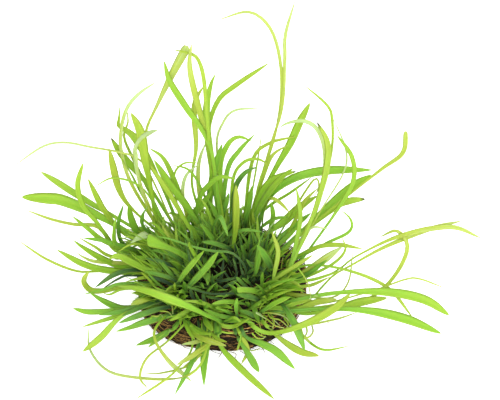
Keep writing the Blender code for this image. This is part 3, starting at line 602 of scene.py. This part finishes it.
def sight_line(pixel):
    """The direction from the eye through a point of its picture."""
    ahead = Vector((0.0, math.cos(EYE_LOOKS_DOWN), -math.sin(EYE_LOOKS_DOWN)))
    up = Vector((0.0, math.sin(EYE_LOOKS_DOWN), math.cos(EYE_LOOKS_DOWN)))
    across = (pixel[0] - PICTURE_CENTRE[0]) / PICTURE_DISTANCE
    down = (pixel[1] - PICTURE_CENTRE[1]) / PICTURE_DISTANCE
    return ahead + across * SIDEWAYS - down * up


def where_sight_meets_height(pixel, height):
    direction = sight_line(pixel)
    return EYE + direction * ((height - EYE.z) / direction.z)


def where_sight_meets_depth(pixel, depth):
    direction = sight_line(pixel)
    return EYE + direction * ((depth - EYE.y) / direction.y)


def in_picture(place):
    """Where a place is seen in the picture, in pixels, and how far away it is."""
    offset = place - EYE
    ahead = offset.y * math.cos(EYE_LOOKS_DOWN) - offset.z * math.sin(EYE_LOOKS_DOWN)
    up = offset.y * math.sin(EYE_LOOKS_DOWN) + offset.z * math.cos(EYE_LOOKS_DOWN)
    u = PICTURE_CENTRE[0] + PICTURE_DISTANCE * offset.x / ahead
    v = PICTURE_CENTRE[1] - PICTURE_DISTANCE * up / ahead
    return u, v, ahead


def evenly_spaced(points, samples):
    lengths = [0.0]
    for a, b in zip(points, points[1:]):
        lengths.append(lengths[-1] + (b - a).length)
    spaced = []
    at = 0
    for k in range(samples):
        goal = lengths[-1] * k / (samples - 1)
        while at < len(points) - 2 and lengths[at + 1] < goal:
            at += 1
        span = max(lengths[at + 1] - lengths[at], 1e-9)
        spaced.append(points[at].lerp(points[at + 1], min(1.0, (goal - lengths[at]) / span)))
    return spaced


def smooth_curve(points, samples):
    """Evenly spaced points on a Catmull-Rom curve through the given ones."""
    padded = [2 * points[0] - points[1], *points, 2 * points[-1] - points[-2]]
    dense = []
    for before, start, end, after in zip(padded, padded[1:], padded[2:], padded[3:]):
        for step in range(STEPS_BETWEEN_POINTS):
            t = step / STEPS_BETWEEN_POINTS
            dense.append(0.5 * (
                2 * start + (end - before) * t
                + (2 * before - 5 * start + 4 * end - after) * t * t
                + (3 * start - before - 3 * end + after) * t * t * t
            ))
    dense.append(points[-1])
    return evenly_spaced(dense, samples)


def seen_curve(seen, samples):
    """A smooth curve through points of the picture."""
    return smooth_curve([Vector((u, v, 0.0)) for u, v in seen], samples)


def lowest_allowed(point):
    """The least height of a leaf's middle line: just over the pad, or just over the floor."""
    over_pad = radius_of(point) < PAD_RADIUS + LEAF_CLEARANCE
    return PAD_THICKNESS + LEAF_CLEARANCE if over_pad else FLOOR_CLEARANCE


def leaf_line(leaf):
    """The leaf's middle line in space. Its depth runs evenly from foot to tip, and what would sink
    into the pad or the floor lies on it."""
    pixels = seen_curve(leaf.seen, LEAF_LINE_POINTS)
    foot = where_sight_meets_height(pixels[0], PAD_THICKNESS + LEAF_CLEARANCE)
    tip = where_sight_meets_height(pixels[-1], leaf.tip_height * MM)
    line = []
    for k, pixel in enumerate(pixels):
        share = k / (len(pixels) - 1)
        bow = leaf.bow * MM * math.sin(math.pi * share)
        point = where_sight_meets_depth(pixel, foot.y + (tip.y - foot.y) * share - bow)
        if point.z < lowest_allowed(point):
            point = where_sight_meets_height(pixel, lowest_allowed(point))
        line.append(point)
    return settled(line)


def settled(line):
    """The same sight lines, with the distances along them evened out."""
    distances = [(p - EYE).length for p in line]
    for _ in range(EVENING_ROUNDS):
        middle = [(a + 2 * b + c) / 4 for a, b, c in zip(distances, distances[1:], distances[2:])]
        distances = [distances[0], *middle, distances[-1]]
        for k, point in enumerate(line):
            direction = (point - EYE).normalized()
            moved = EYE + direction * distances[k]
            least = lowest_allowed(moved)
            if moved.z < least:
                distances[k] = (least - EYE.z) / direction.z
    return [EYE + (p - EYE).normalized() * d for p, d in zip(line, distances)]


def width_share(shape, stem, share):
    """A leaf widens from its stem to its blade, and closes in a point."""
    blade = ease((share - shape.stem_ends) / (shape.full_from - shape.stem_ends))
    past = max(0.0, (share - shape.tip_starts) / (1.0 - shape.tip_starts))
    closing = max(0.0, 1.0 - past ** shape.roundness) ** shape.bluntness
    return (stem + (1.0 - stem) * blade) * (TIP_WIDTH_SHARE + (1.0 - TIP_WIDTH_SHARE) * closing)


def widening(line, faces):
    """How much wider a blade is than it looks from the viewer's side, where that sees it at a slant."""
    shown = []
    for k in range(len(line) // 2, len(line) - 2):
        along = direction_at(line, k, 2, 2)
        face = square_to(faces[k], along).normalized()
        shown.append(abs(face.dot(square_to(EYE - line[k], along).normalized())))
    return min(MOST_WIDENING, len(shown) / sum(shown))


def faces_seen(line):
    """For each point of a line, the direction of the blade's face: up and inwards, turned partly
    towards the viewer."""
    outward = Vector((line[-1].x - line[0].x, line[-1].y - line[0].y, 0.0)).normalized()
    inner = (UP - LEAN_OF_FACE * outward).normalized()
    return [inner.lerp((EYE - p).normalized(), TURN_TOWARDS_VIEWER) for p in line]


def mesh_piece(name, places, faces, notes, surface):
    """One piece of the model. Its notes are what its surface needs to know at each point."""
    mesh = bpy.data.meshes.new(name)
    mesh.from_pydata([tuple(p) for p in places], [], faces)
    for label, values in notes.items():
        mesh.attributes.new(label, "FLOAT", "POINT").data.foreach_set("value", values)
    mesh.validate()
    mesh.update()
    mesh.shade_smooth()
    mesh.materials.append(surface)
    piece = bpy.data.objects.new(name, mesh)
    bpy.context.scene.collection.objects.link(piece)
    return piece


class Growth:
    """Leaves or threads gathered in one mesh."""

    def __init__(self):
        self.places = []
        self.faces = []
        self.notes = {"along": [], "across": [], "tone": [], "seed": [], "dry": []}

    def add_place(self, place, **notes):
        """Adds a point and gives its number."""
        self.places.append(place)
        for label, value in notes.items():
            self.notes[label].append(value)
        return len(self.places) - 1

    def add_leaf(self, line, faces, width, stem, tone, rng, shape, stations, roll=USUAL_ROLL, dry=0.0):
        """A closed thin blade along a line, a little folded lengthwise and slowly turning."""
        last = len(line) - 1
        thickness = min(BLADE_THICKNESS, THICKNESS_SHARE_OF_WIDTH * width)
        seed = rng.random()
        turn = rng.uniform(-roll, roll)
        turning = rng.uniform(-roll, roll)
        wave = rng.uniform(0.0, ABOUT_A_TURN)
        rings = []
        for station in range(stations):
            share = 1.0 - (1.0 - station / (stations - 1)) ** STATIONS_CROWD_AT_TIP
            position = share * last
            k = min(int(position), last - 1)
            place = line[k].lerp(line[k + 1], position - k)
            along = direction_at(line, k, 1, 2)
            angle = turn + turning * math.sin(TWIST_WAVES * share + wave)
            face = Matrix.Rotation(angle, 3, along) @ square_to(faces[k], along).normalized()
            side = along.cross(face)
            fullness = width_share(shape, stem, share)
            half = 0.5 * width * fullness
            half = half * (1.0 + RIPPLE * math.sin(RIPPLE_WAVES * share + wave))
            depth = thickness * (THICKNESS_SHARE_AT_TIP + (1.0 - THICKNESS_SHARE_AT_TIP) * fullness)
            ring = []
            for across, level in SECTION:
                rise = BLADE_FOLD * 2 * half * (abs(across) ** FOLD_SHARPNESS - FOLD_LEVEL)
                rise += level * 0.5 * depth * (1.0 - THINNING_AT_EDGE * abs(across))
                ring.append(self.add_place(place + side * (across * half) + face * rise,
                                           along=share, across=across, tone=tone, seed=seed, dry=dry))
            rings.append(ring)
        self.skin(rings)

    def add_thread(self, line, radius, sides, tone, seed, taper=FIBRE_TAPER):
        """A thin round thread along a line."""
        rings = []
        for k, place in enumerate(line):
            share = k / (len(line) - 1)
            along = direction_at(line, k)
            side = along.cross(UP)
            if side.length < NEARLY_UPRIGHT:
                side = along.cross(SIDEWAYS)
            side.normalize()
            other = along.cross(side)
            here = radius * (1.0 - (1.0 - taper) * share)
            ring = []
            for i in range(sides):
                angle = 2 * math.pi * i / sides
                outward = side * math.cos(angle) + other * math.sin(angle)
                ring.append(self.add_place(place + outward * here, along=share,
                                           across=math.cos(angle), tone=tone, seed=seed, dry=0.0))
            rings.append(ring)
        self.skin(rings)

    def skin(self, rings):
        """Joins rings of points to a closed tube."""
        count = len(rings[0])
        for near, far in zip(rings, rings[1:]):
            for i in range(count):
                j = (i + 1) % count
                self.faces.append((near[i], near[j], far[j], far[i]))
        self.faces.append(tuple(rings[0][::-1]))
        self.faces.append(tuple(rings[-1]))

    def make(self, name, surface):
        return mesh_piece(name, self.places, self.faces, self.notes, surface)


class Cover:
    """Which pixels of the picture the traced leaves take up, and how far away they are there."""

    def __init__(self):
        self.nearest = {}

    def samples(self, line):
        for start, end in zip(line, line[1:]):
            for step in range(COVER_STEPS):
                yield in_picture(start.lerp(end, step / COVER_STEPS))

    def add(self, line, width, shown_from):
        line = line[int(shown_from * len(line)):]
        reach = max(1, round(COVER_REACH * width * PICTURE_DISTANCE / in_picture(line[-1])[2]))
        for u, v, away in self.samples(line):
            for du in range(-reach, reach + 1):
                for dv in range(-reach, reach + 1):
                    cell = (round(u) + du, round(v) + dv)
                    self.nearest[cell] = min(away, self.nearest.get(cell, away))

    def share_hidden_by(self, line):
        seen = list(self.samples(line[2:]))
        hiding = sum(away < self.nearest.get((round(u), round(v)), 0.0) for u, v, away in seen)
        return hiding / len(seen)


def trace(leaf, growth, cover, rng, usual_shape, stations, shown_from):
    """Adds one traced leaf to a mesh and to what the undergrowth keeps clear of."""
    line = leaf_line(leaf)
    faces = faces_seen(line)
    # The tone is the tint's, shifted by the leaf's shade, which is partly its own colour and partly
    # painted light and shade
    growth.add_leaf(
        line, faces, leaf.width * MM * widening(line, faces), leaf.stem, TONES[leaf.tint] + leaf.shade,
        rng, OWN_SHAPES.get(leaf.name, usual_shape), stations, dry=float(leaf.name in BROWN_TIPPED),
    )
    cover.add(line, leaf.width * MM, shown_from)


def named_leaves(surface, cover):
    """One finely made piece for each named leaf, in place of its solid."""
    for order, leaf in enumerate(LEAVES):
        growth = Growth()
        rng = random.Random(NAMED_SEED + order)
        trace(leaf, growth, cover, rng, LONG_SHAPE, NAMED_STATIONS, SHOWN_OF_NAMED)
        piece = growth.make(leaf.name.replace("leaf", "blade"), surface)
        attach(piece, "root")
        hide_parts(leaf.name)


def short_leaves(surface, cover):
    """The short leaves that stand out, in one mesh."""
    growth = Growth()
    for order, leaf in enumerate(SHORT_LEAVES):
        rng = random.Random(SHORT_SEED + order)
        trace(leaf, growth, cover, rng, SHORT_SHAPE, SHORT_STATIONS, SHOWN_OF_SHORT)
    return growth.make("short_leaves", surface)


def in_outline(u, v, outline):
    inside = False
    for (x0, y0), (x1, y1) in zip(outline, outline[1:] + outline[:1]):
        if (y0 > v) != (y1 > v) and u < x0 + (v - y0) / (y1 - y0) * (x1 - x0):
            inside = not inside
    return inside


def inside_mass(point):
    angle = angle_of(point)
    lengthways = MASS_REACH_BACK if math.sin(angle) > 0 else MASS_REACH_FRONT
    reach = math.hypot(MASS_REACH_SIDEWAYS * math.cos(angle), lengthways * math.sin(angle))
    top = PAD_THICKNESS + MASS_RISE * (1 + MASS_LIFT_AT_BACK * math.sin(angle))
    return radius_of(point) < reach and point.z < top


def arching_line(foot, heading, tilt_at_foot, tilt_at_tip, length):
    """A line that leaves its foot at one tilt from upright and bends over to another."""
    line = [foot.copy()]
    steps = UNDERGROWTH_LINE_POINTS - 1
    for k in range(steps):
        tilt = tilt_at_foot + (tilt_at_tip - tilt_at_foot) * ((k + 0.5) / steps) ** BENDS_LATE
        line.append(line[-1] + polar(math.sin(tilt), heading, math.cos(tilt)) * (length / steps))
    return line


def upper_faces(line, heading, roll):
    """Faces of a leaf that arches away along a heading."""
    side = Vector((-math.sin(heading), math.cos(heading), 0.0))
    faces = []
    for k in range(len(line)):
        along = direction_at(line, k)
        face = along.cross(side)
        if face.z < 0 and k < 2:
            side = -side
            face = -face
        faces.append(Matrix.Rotation(roll, 3, along) @ face)
    return faces


def kept_clear(line):
    """The same line lifted off the pad and the floor. Its foot stays in the pad."""
    clear = line[:2]
    for place in line[2:]:
        radius = radius_of(place)
        edge = pad_edge(angle_of(place)) + UNDERGROWTH_CLEARANCE
        height = max(place.z, UNDERGROWTH_CLEARANCE)
        if radius < edge and height < PAD_THICKNESS + UNDERGROWTH_CLEARANCE:
            if radius > edge - HANGS_OVER_EDGE:
                place = Vector((place.x * edge / radius, place.y * edge / radius, 0.0))
            else:
                height = PAD_THICKNESS + UNDERGROWTH_CLEARANCE
        clear.append(Vector((place.x, place.y, height)))
    return clear


def undergrowth_line(kind, rng):
    angle = math.radians(rng.uniform(*kind.directions))
    foot = polar(rng.uniform(*kind.ring) * MM, angle, PAD_THICKNESS - UNDERGROWTH_CLEARANCE)
    heading = angle + rng.uniform(-kind.stray, kind.stray)
    lean = math.radians(rng.uniform(*kind.lean))
    bend = math.radians(rng.uniform(*kind.bend))
    length = rng.uniform(*kind.length) * MM
    line = arching_line(foot, heading, lean, lean + bend, length)
    while not inside_mass(line[-1]) and length > SHORTEST_UNDERGROWTH:
        length *= SHORTENING
        line = arching_line(foot, heading, lean, lean + bend, length)
    roll = rng.uniform(-UNDERGROWTH_ROLL, UNDERGROWTH_ROLL)
    return kept_clear(line), upper_faces(line, heading, roll)


def undergrowth_leaf(kind, growth, cover, rng):
    """Tries lines until one stays in the outline and hides hardly anything, or gives up."""
    for _ in range(MOST_TRIES):
        line, faces = undergrowth_line(kind, rng)
        u, v, _ = in_picture(line[-1])
        if in_outline(u, v, DENSE_OUTLINE) and cover.share_hidden_by(line) <= MOST_HIDING:
            width = rng.uniform(*kind.width) * MM
            stem = rng.uniform(*UNDERGROWTH_STEMS)
            tone = rng.uniform(*kind.tone)
            growth.add_leaf(line, faces, width, stem, tone, rng, SMALL_SHAPE,
                            UNDERGROWTH_STATIONS, UNDERGROWTH_TURN)
            return


def undergrowth(surface, cover):
    rng = random.Random(UNDERGROWTH_SEED)
    growth = Growth()
    for kind in KINDS:
        for _ in range(kind.count):
            undergrowth_leaf(kind, growth, cover, rng)
    return growth.make("undergrowth", surface)


def pad_edge(angle):
    wave = math.sin(3 * angle + 0.6) * math.cos(2 * angle)
    return PAD_RADIUS * (1 - PAD_WAVINESS / 2 + PAD_WAVINESS * wave)


def roughened(place):
    """A point of the pad's top or side, moved in or out a little."""
    rough = noise.noise(place * 260.0) + 0.5 * noise.noise(place * 700.0)
    at_side = PAD_SIDE_HEIGHTS[0] < place.z / MM < PAD_SIDE_HEIGHTS[1]
    lean = Vector((place.x, place.y, 0.0)).normalized() if at_side else UP
    return place + lean * (rough - 0.4) * PAD_ROUGHNESS * MM


def pad_body(surface):
    """The matted body of the pad: a rough disc with soft edges, level underneath."""
    places = []
    rings = []
    for share, height in PAD_PROFILE:
        ring = []
        for i in range(PAD_SIDES if share else 1):
            angle = 2 * math.pi * i / PAD_SIDES
            place = polar(pad_edge(angle) * share, angle, height * MM)
            ring.append(len(places))
            places.append(roughened(place) if height else place)
        rings.append(ring)
    faces = []
    for lower, upper in zip(rings, rings[1:]):
        for i in range(max(len(lower), len(upper))):
            j = i + 1
            corners = [lower[i % len(lower)], lower[j % len(lower)],
                       upper[j % len(upper)], upper[i % len(upper)]]
            faces.append(list(dict.fromkeys(corners)))
    # The body takes the darkest coir colour, near black: the pad's own dark colour, and painted shade
    # where it lies bare in the hollow
    return mesh_piece("coir_body", places, faces, {"tone": [0.0] * len(places)}, surface)


def wandering_line(rng, start, heading, fibres, points, hold):
    """A curly line of short steps, each kept in place by hold."""
    line = [hold(start)]
    bend = fibres.bend
    turn = rng.uniform(-bend, bend)
    slope = rng.uniform(-0.4, 0.4)
    for _ in range(points - 1):
        turn = 0.75 * turn + 0.25 * rng.uniform(-3 * bend, 3 * bend)
        heading += turn
        slope = 0.8 * slope + rng.uniform(-0.25, 0.25)
        line.append(hold(line[-1] + polar(1.0, heading, slope).normalized() * (fibres.step * MM)))
    return line


def on_pad_top(place):
    radius = radius_of(place)
    edge = pad_edge(angle_of(place)) - INSET_ON_TOP
    if radius > edge:
        place = Vector((place.x * edge / radius, place.y * edge / radius, place.z))
    rim, rim_width = HOLLOW_RIM
    level = PAD_THICKNESS - HOLLOW_DEPTH * (1.0 - ease((radius / HOLLOW_RADIUS - rim) / rim_width))
    deep, high = DEPTHS_ON_TOP
    return Vector((place.x, place.y, min(max(place.z, level - deep), level + high)))


def on_pad_side(place):
    radius = max(radius_of(place), 1e-6)
    edge = pad_edge(angle_of(place))
    deep, far = DEPTHS_ON_SIDE
    kept = min(max(radius, edge - deep), edge + far)
    height = min(max(place.z, SIDE_MARGINS[0]), PAD_THICKNESS - SIDE_MARGINS[1])
    return Vector((place.x * kept / radius, place.y * kept / radius, height))


def above_floor(place):
    return Vector((place.x, place.y, max(place.z, LOOSE_CLEARANCE)))


def coir_fibres(surface):
    """Fibres matted over the top and round the side of the pad, and a few that stick out."""
    rng = random.Random(FIBRE_SEED)
    growth = Growth()
    for _ in range(TOP_FIBRES.count):
        angle = rng.uniform(0.0, 2 * math.pi)
        radius = PAD_RADIUS * math.sqrt(rng.random())
        start = polar(radius, angle, PAD_THICKNESS)
        heading = rng.uniform(0.0, ABOUT_A_TURN)
        line = wandering_line(rng, start, heading, TOP_FIBRES, FIBRE_POINTS, on_pad_top)
        # Fibres towards the hollow are darkened to near black: painted shade of the hollow
        tone = rng.random() ** 2 * ease((radius - HOLLOW_RADIUS) / (12.0 * MM))
        growth.add_thread(line, rng.uniform(*TOP_FIBRES.radii) * MM, FIBRE_SIDES, tone, rng.random())
    for _ in range(SIDE_FIBRES.count):
        angle = rng.uniform(0.0, 2 * math.pi)
        start = polar(PAD_RADIUS, angle, rng.uniform(*SIDE_FIBRE_HEIGHTS) * MM)
        heading = angle + math.pi / 2 * rng.choice((-1, 1)) + rng.gauss(0.0, SIDE_FIBRE_SPREAD)
        line = wandering_line(rng, start, heading, SIDE_FIBRES, FIBRE_POINTS, on_pad_side)
        growth.add_thread(line, rng.uniform(*SIDE_FIBRES.radii) * MM, FIBRE_SIDES,
                          rng.random() ** 2.2, rng.random())
    for _ in range(LOOSE_FIBRES.count):
        angle = rng.uniform(0.0, 2 * math.pi)
        start = polar(pad_edge(angle) - 1.0 * MM, angle, rng.uniform(*LOOSE_FIBRE_HEIGHTS) * MM)
        heading = angle + rng.gauss(0.0, LOOSE_FIBRE_SPREAD)
        points = rng.randint(*LOOSE_FIBRE_POINTS)
        line = wandering_line(rng, start, heading, LOOSE_FIBRES, points, above_floor)
        growth.add_thread(line, rng.uniform(*LOOSE_FIBRES.radii) * MM, FIBRE_SIDES,
                          rng.uniform(0.1, 0.8), rng.random())
    for seen in EDGE_FIBRES:
        line = [where_sight_meets_height(pixel, rng.uniform(0.9, 1.1) * MM)
                for pixel in seen_curve(seen, EDGE_FIBRE_POINTS)]
        growth.add_thread(line, EDGE_FIBRE_RADIUS, FIBRE_SIDES, rng.uniform(0.1, 0.6), rng.random())
    return growth.make("coir_fibres", surface)


def roots_and_runners(surface, cover):
    """Pale curly roots at the front right of the pad, and a few others round it."""
    rng = random.Random(ROOT_SEED)
    growth = Growth()
    for width, first, last, seen in ROOTS:
        line = []
        for k, pixel in enumerate(seen_curve(seen, ROOT_POINTS)):
            height = (first + (last - first) * k / (ROOT_POINTS - 1)) * MM
            line.append(where_sight_meets_height(pixel, height))
        growth.add_thread(line, width / 2 * MM, ROOT_SIDES, rng.uniform(0.80, 0.92), rng.random())
        cover.add(line, width * MM, 0.0)
    for _ in range(MORE_ROOTS):
        angle = math.radians(rng.gauss(-48, 16)) if rng.random() < 0.8 else rng.uniform(0.0, 2 * math.pi)
        start = polar(pad_edge(angle) - rng.uniform(0.0, 5.0) * MM, angle, PAD_THICKNESS + 0.2 * MM)
        heading = angle + rng.gauss(0.0, 0.9)
        line = [start]
        slope = rng.uniform(0.1, 0.7)
        curl = rng.uniform(-0.45, 0.45)
        for _ in range(rng.randint(9, 16)):
            heading += curl + rng.uniform(-0.15, 0.15)
            slope -= rng.uniform(0.05, 0.28)
            place = line[-1] + polar(1.0, heading, slope).normalized() * MORE_ROOTS_STEP * MM
            if radius_of(place) < pad_edge(angle_of(place)):
                place.z = max(place.z, PAD_THICKNESS + 0.3 * MM)
            line.append(above_floor(place))
        growth.add_thread(smooth_curve(line, MORE_ROOTS_POINTS), rng.uniform(*MORE_ROOTS_RADII) * MM,
                          ROOT_SIDES, rng.uniform(0.82, 0.96), rng.random(), MORE_ROOTS_TAPER)
    return growth.make("roots_and_runners", surface)


class Surface:
    """A material, with short ways to add nodes to it."""

    def __init__(self, name):
        self.material = bpy.data.materials.new(name)
        self.material.use_nodes = True
        self.nodes = self.material.node_tree.nodes
        self.shader = self.nodes["Principled BSDF"]

    def feed(self, node, **inputs):
        """Sets numbers and colours on a node's inputs, and links the rest. A name like in0 is the
        first input, and other names are the input's own, with _ for a space."""
        for name, value in inputs.items():
            key = int(name[2:]) if name[2:].isdigit() else name.replace("_", " ")
            socket = node.inputs[key]
            if isinstance(value, bpy.types.NodeSocket):
                self.material.node_tree.links.new(value, socket)
            else:
                socket.default_value = (*value, 1.0) if isinstance(value, tuple) else value

    def add(self, kind, output=0, settings=(), **inputs):
        node = self.nodes.new("ShaderNode" + kind)
        for name, value in dict(settings).items():
            setattr(node, name, value)
        self.feed(node, **inputs)
        return node.outputs[output]

    def attribute(self, label):
        return self.add("Attribute", "Fac", {"attribute_name": label})

    def maths(self, operation, first, second, clamp=False):
        return self.add("Math", 0, {"operation": operation, "use_clamp": clamp}, in0=first, in1=second)

    def mix(self, factor, first, second):
        return self.add("Mix", 2, {"data_type": "RGBA"}, in0=factor, in6=first, in7=second)

    def ramp(self, value, stops):
        node = self.nodes.new("ShaderNodeValToRGB")
        elements = node.color_ramp.elements
        while len(elements) < len(stops):
            elements.new(0.5)
        for element, (position, colour) in zip(elements, stops):
            element.position = position
            element.color = (*colour, 1.0)
        self.feed(node, in0=value)
        return node.outputs[0]

    def bumped(self, height, strength, distance):
        normal = self.add("Bump", Height=height, Strength=strength, Distance=distance)
        self.feed(self.shader, Normal=normal)


def leaf_surface():
    """Thin green leaf tissue: veins along it, a paler edge, light that comes through, and dry brown
    where a tip has died."""
    made = Surface("leaf_tissue")
    along, across, tone, seed, dry = map(made.attribute, ("along", "across", "tone", "seed", "dry"))
    maths = made.maths

    def about(value, middle, strength):
        return maths("MULTIPLY", maths("SUBTRACT", value, middle), strength)

    place = made.add(
        "CombineXYZ", in0=maths("MULTIPLY", across, 1.7), in1=maths("MULTIPLY", along, 1.6),
        in2=maths("MULTIPLY", seed, 37.0),
    )
    streaks = made.add("TexNoise", Vector=place, Scale=3.2, Detail=3.0)
    veins = made.add("TexWave", Vector=place, Scale=1.1, Distortion=0.6)

    # A leaf is yellower towards its tip and darker green towards its foot. The yellow tip is the
    # leaf's own colour; the dark foot is painted shade of the crowded leaves round it
    painted_foot_shade = maths("SUBTRACT", maths("MULTIPLY", along, 2.4, clamp=True), 1.0)
    rise = maths("ADD", about(along, 0.7, 0.22), maths("MULTIPLY", painted_foot_shade, 0.22))
    value = tone
    for part in (about(streaks, 0.5, 0.46), about(veins, 0.5, 0.10), about(seed, 0.5, 0.12), rise):
        value = maths("ADD", value, part)
    value = maths("MINIMUM", maths("MAXIMUM", value, 0.0), 1.0)

    edge = maths("POWER", maths("ABSOLUTE", across, 0.0), 6.0)
    colour = made.mix(maths("MULTIPLY", edge, 0.45), made.ramp(value, LEAF_COLOURS), EDGE_COLOUR)
    past_green = maths("ADD", maths("SUBTRACT", along, 0.99), maths("MULTIPLY", dry, 0.035))
    near_tip = maths("MULTIPLY", past_green, 30.0, clamp=True)
    dead = maths("MULTIPLY", near_tip, maths("MULTIPLY", dry, 1.6, clamp=True))
    colour = made.mix(dead, colour, DRY_COLOUR)
    made.feed(made.shader, Base_Color=colour, Roughness=0.42, Specular_IOR_Level=0.26)
    made.bumped(veins, 0.25, 0.15 * MM)

    through = made.add("BsdfTranslucent", Color=made.mix(0.35, colour, LIGHT_THROUGH))
    both = made.add("MixShader", in0=0.42, in1=made.shader.outputs[0], in2=through)
    made.feed(made.nodes["Material Output"], Surface=both)
    return made.material


def coir_surface():
    """Matted coir whose strands differ in colour from one to the next. Its darkest colour is also
    painted shade in and round the hollow.
    """
    made = Surface("coir")
    place = made.add("TexCoord", "Object")
    grain = made.add("TexNoise", Vector=place, Scale=900.0, Detail=4.0)
    value = made.add("Math", 0, {"operation": "MULTIPLY_ADD"}, in0=grain, in1=0.35,
                     in2=made.attribute("tone"))
    colour = made.ramp(value, COIR_COLOURS)
    made.feed(made.shader, Base_Color=colour, Roughness=0.9, Specular_IOR_Level=0.15)
    made.bumped(grain, 0.5, 0.2 * MM)
    return made.material


def floor_surface():
    made = Surface("pale_floor")
    made.feed(made.shader, Base_Color=FLOOR_COLOUR, Roughness=FLOOR_ROUGHNESS,
              Emission_Color=WHITE, Emission_Strength=FLOOR_GLOW)
    return made.material


def studio():
    """A pale floor, a white surround and soft lights."""
    bpy.ops.mesh.primitive_plane_add(size=FLOOR_SIZE, location=(0.0, 0.0, 0.0))
    floor = bpy.context.object
    floor.name = "floor"
    floor.data.materials.append(floor_surface())

    world = bpy.data.worlds.new("surround")
    bpy.context.scene.world = world
    world.use_nodes = True
    background = world.node_tree.nodes["Background"]
    background.inputs[0].default_value = (*WHITE, 1.0)
    background.inputs[1].default_value = SURROUND

    for name, place, size, power in LAMPS:
        data = bpy.data.lights.new(name, "AREA")
        data.size = size
        data.energy = power
        made = bpy.data.objects.new(name, data)
        made.location = place
        made.rotation_euler = (LAMPS_AIM - Vector(place)).to_track_quat("-Z", "Y").to_euler()
        bpy.context.scene.collection.objects.link(made)


def camera():
    data = bpy.data.cameras.new("camera")
    data.sensor_width = SENSOR_WIDTH
    data.lens = FOCAL_LENGTH
    data.clip_start = NEAREST_SEEN
    made = bpy.data.objects.new("camera", data)
    made.location = EYE
    made.rotation_euler = (math.pi / 2 - EYE_LOOKS_DOWN, 0.0, 0.0)
    bpy.context.scene.collection.objects.link(made)
    bpy.context.scene.camera = made


camera()
studio()
bpy.context.scene.view_settings.view_transform = "Standard"

leaf_tissue = leaf_surface()
coir = coir_surface()

cover = Cover()
named_leaves(leaf_tissue, cover)
roots = roots_and_runners(leaf_tissue, cover)
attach(roots, "root")
for tuft in (short_leaves(leaf_tissue, cover), undergrowth(leaf_tissue, cover)):
    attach(tuft, "root")
    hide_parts("short_leaf_mass")
for matting in (pad_body(coir), coir_fibres(coir)):
    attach(matting, "root")
    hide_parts("coir_pad")
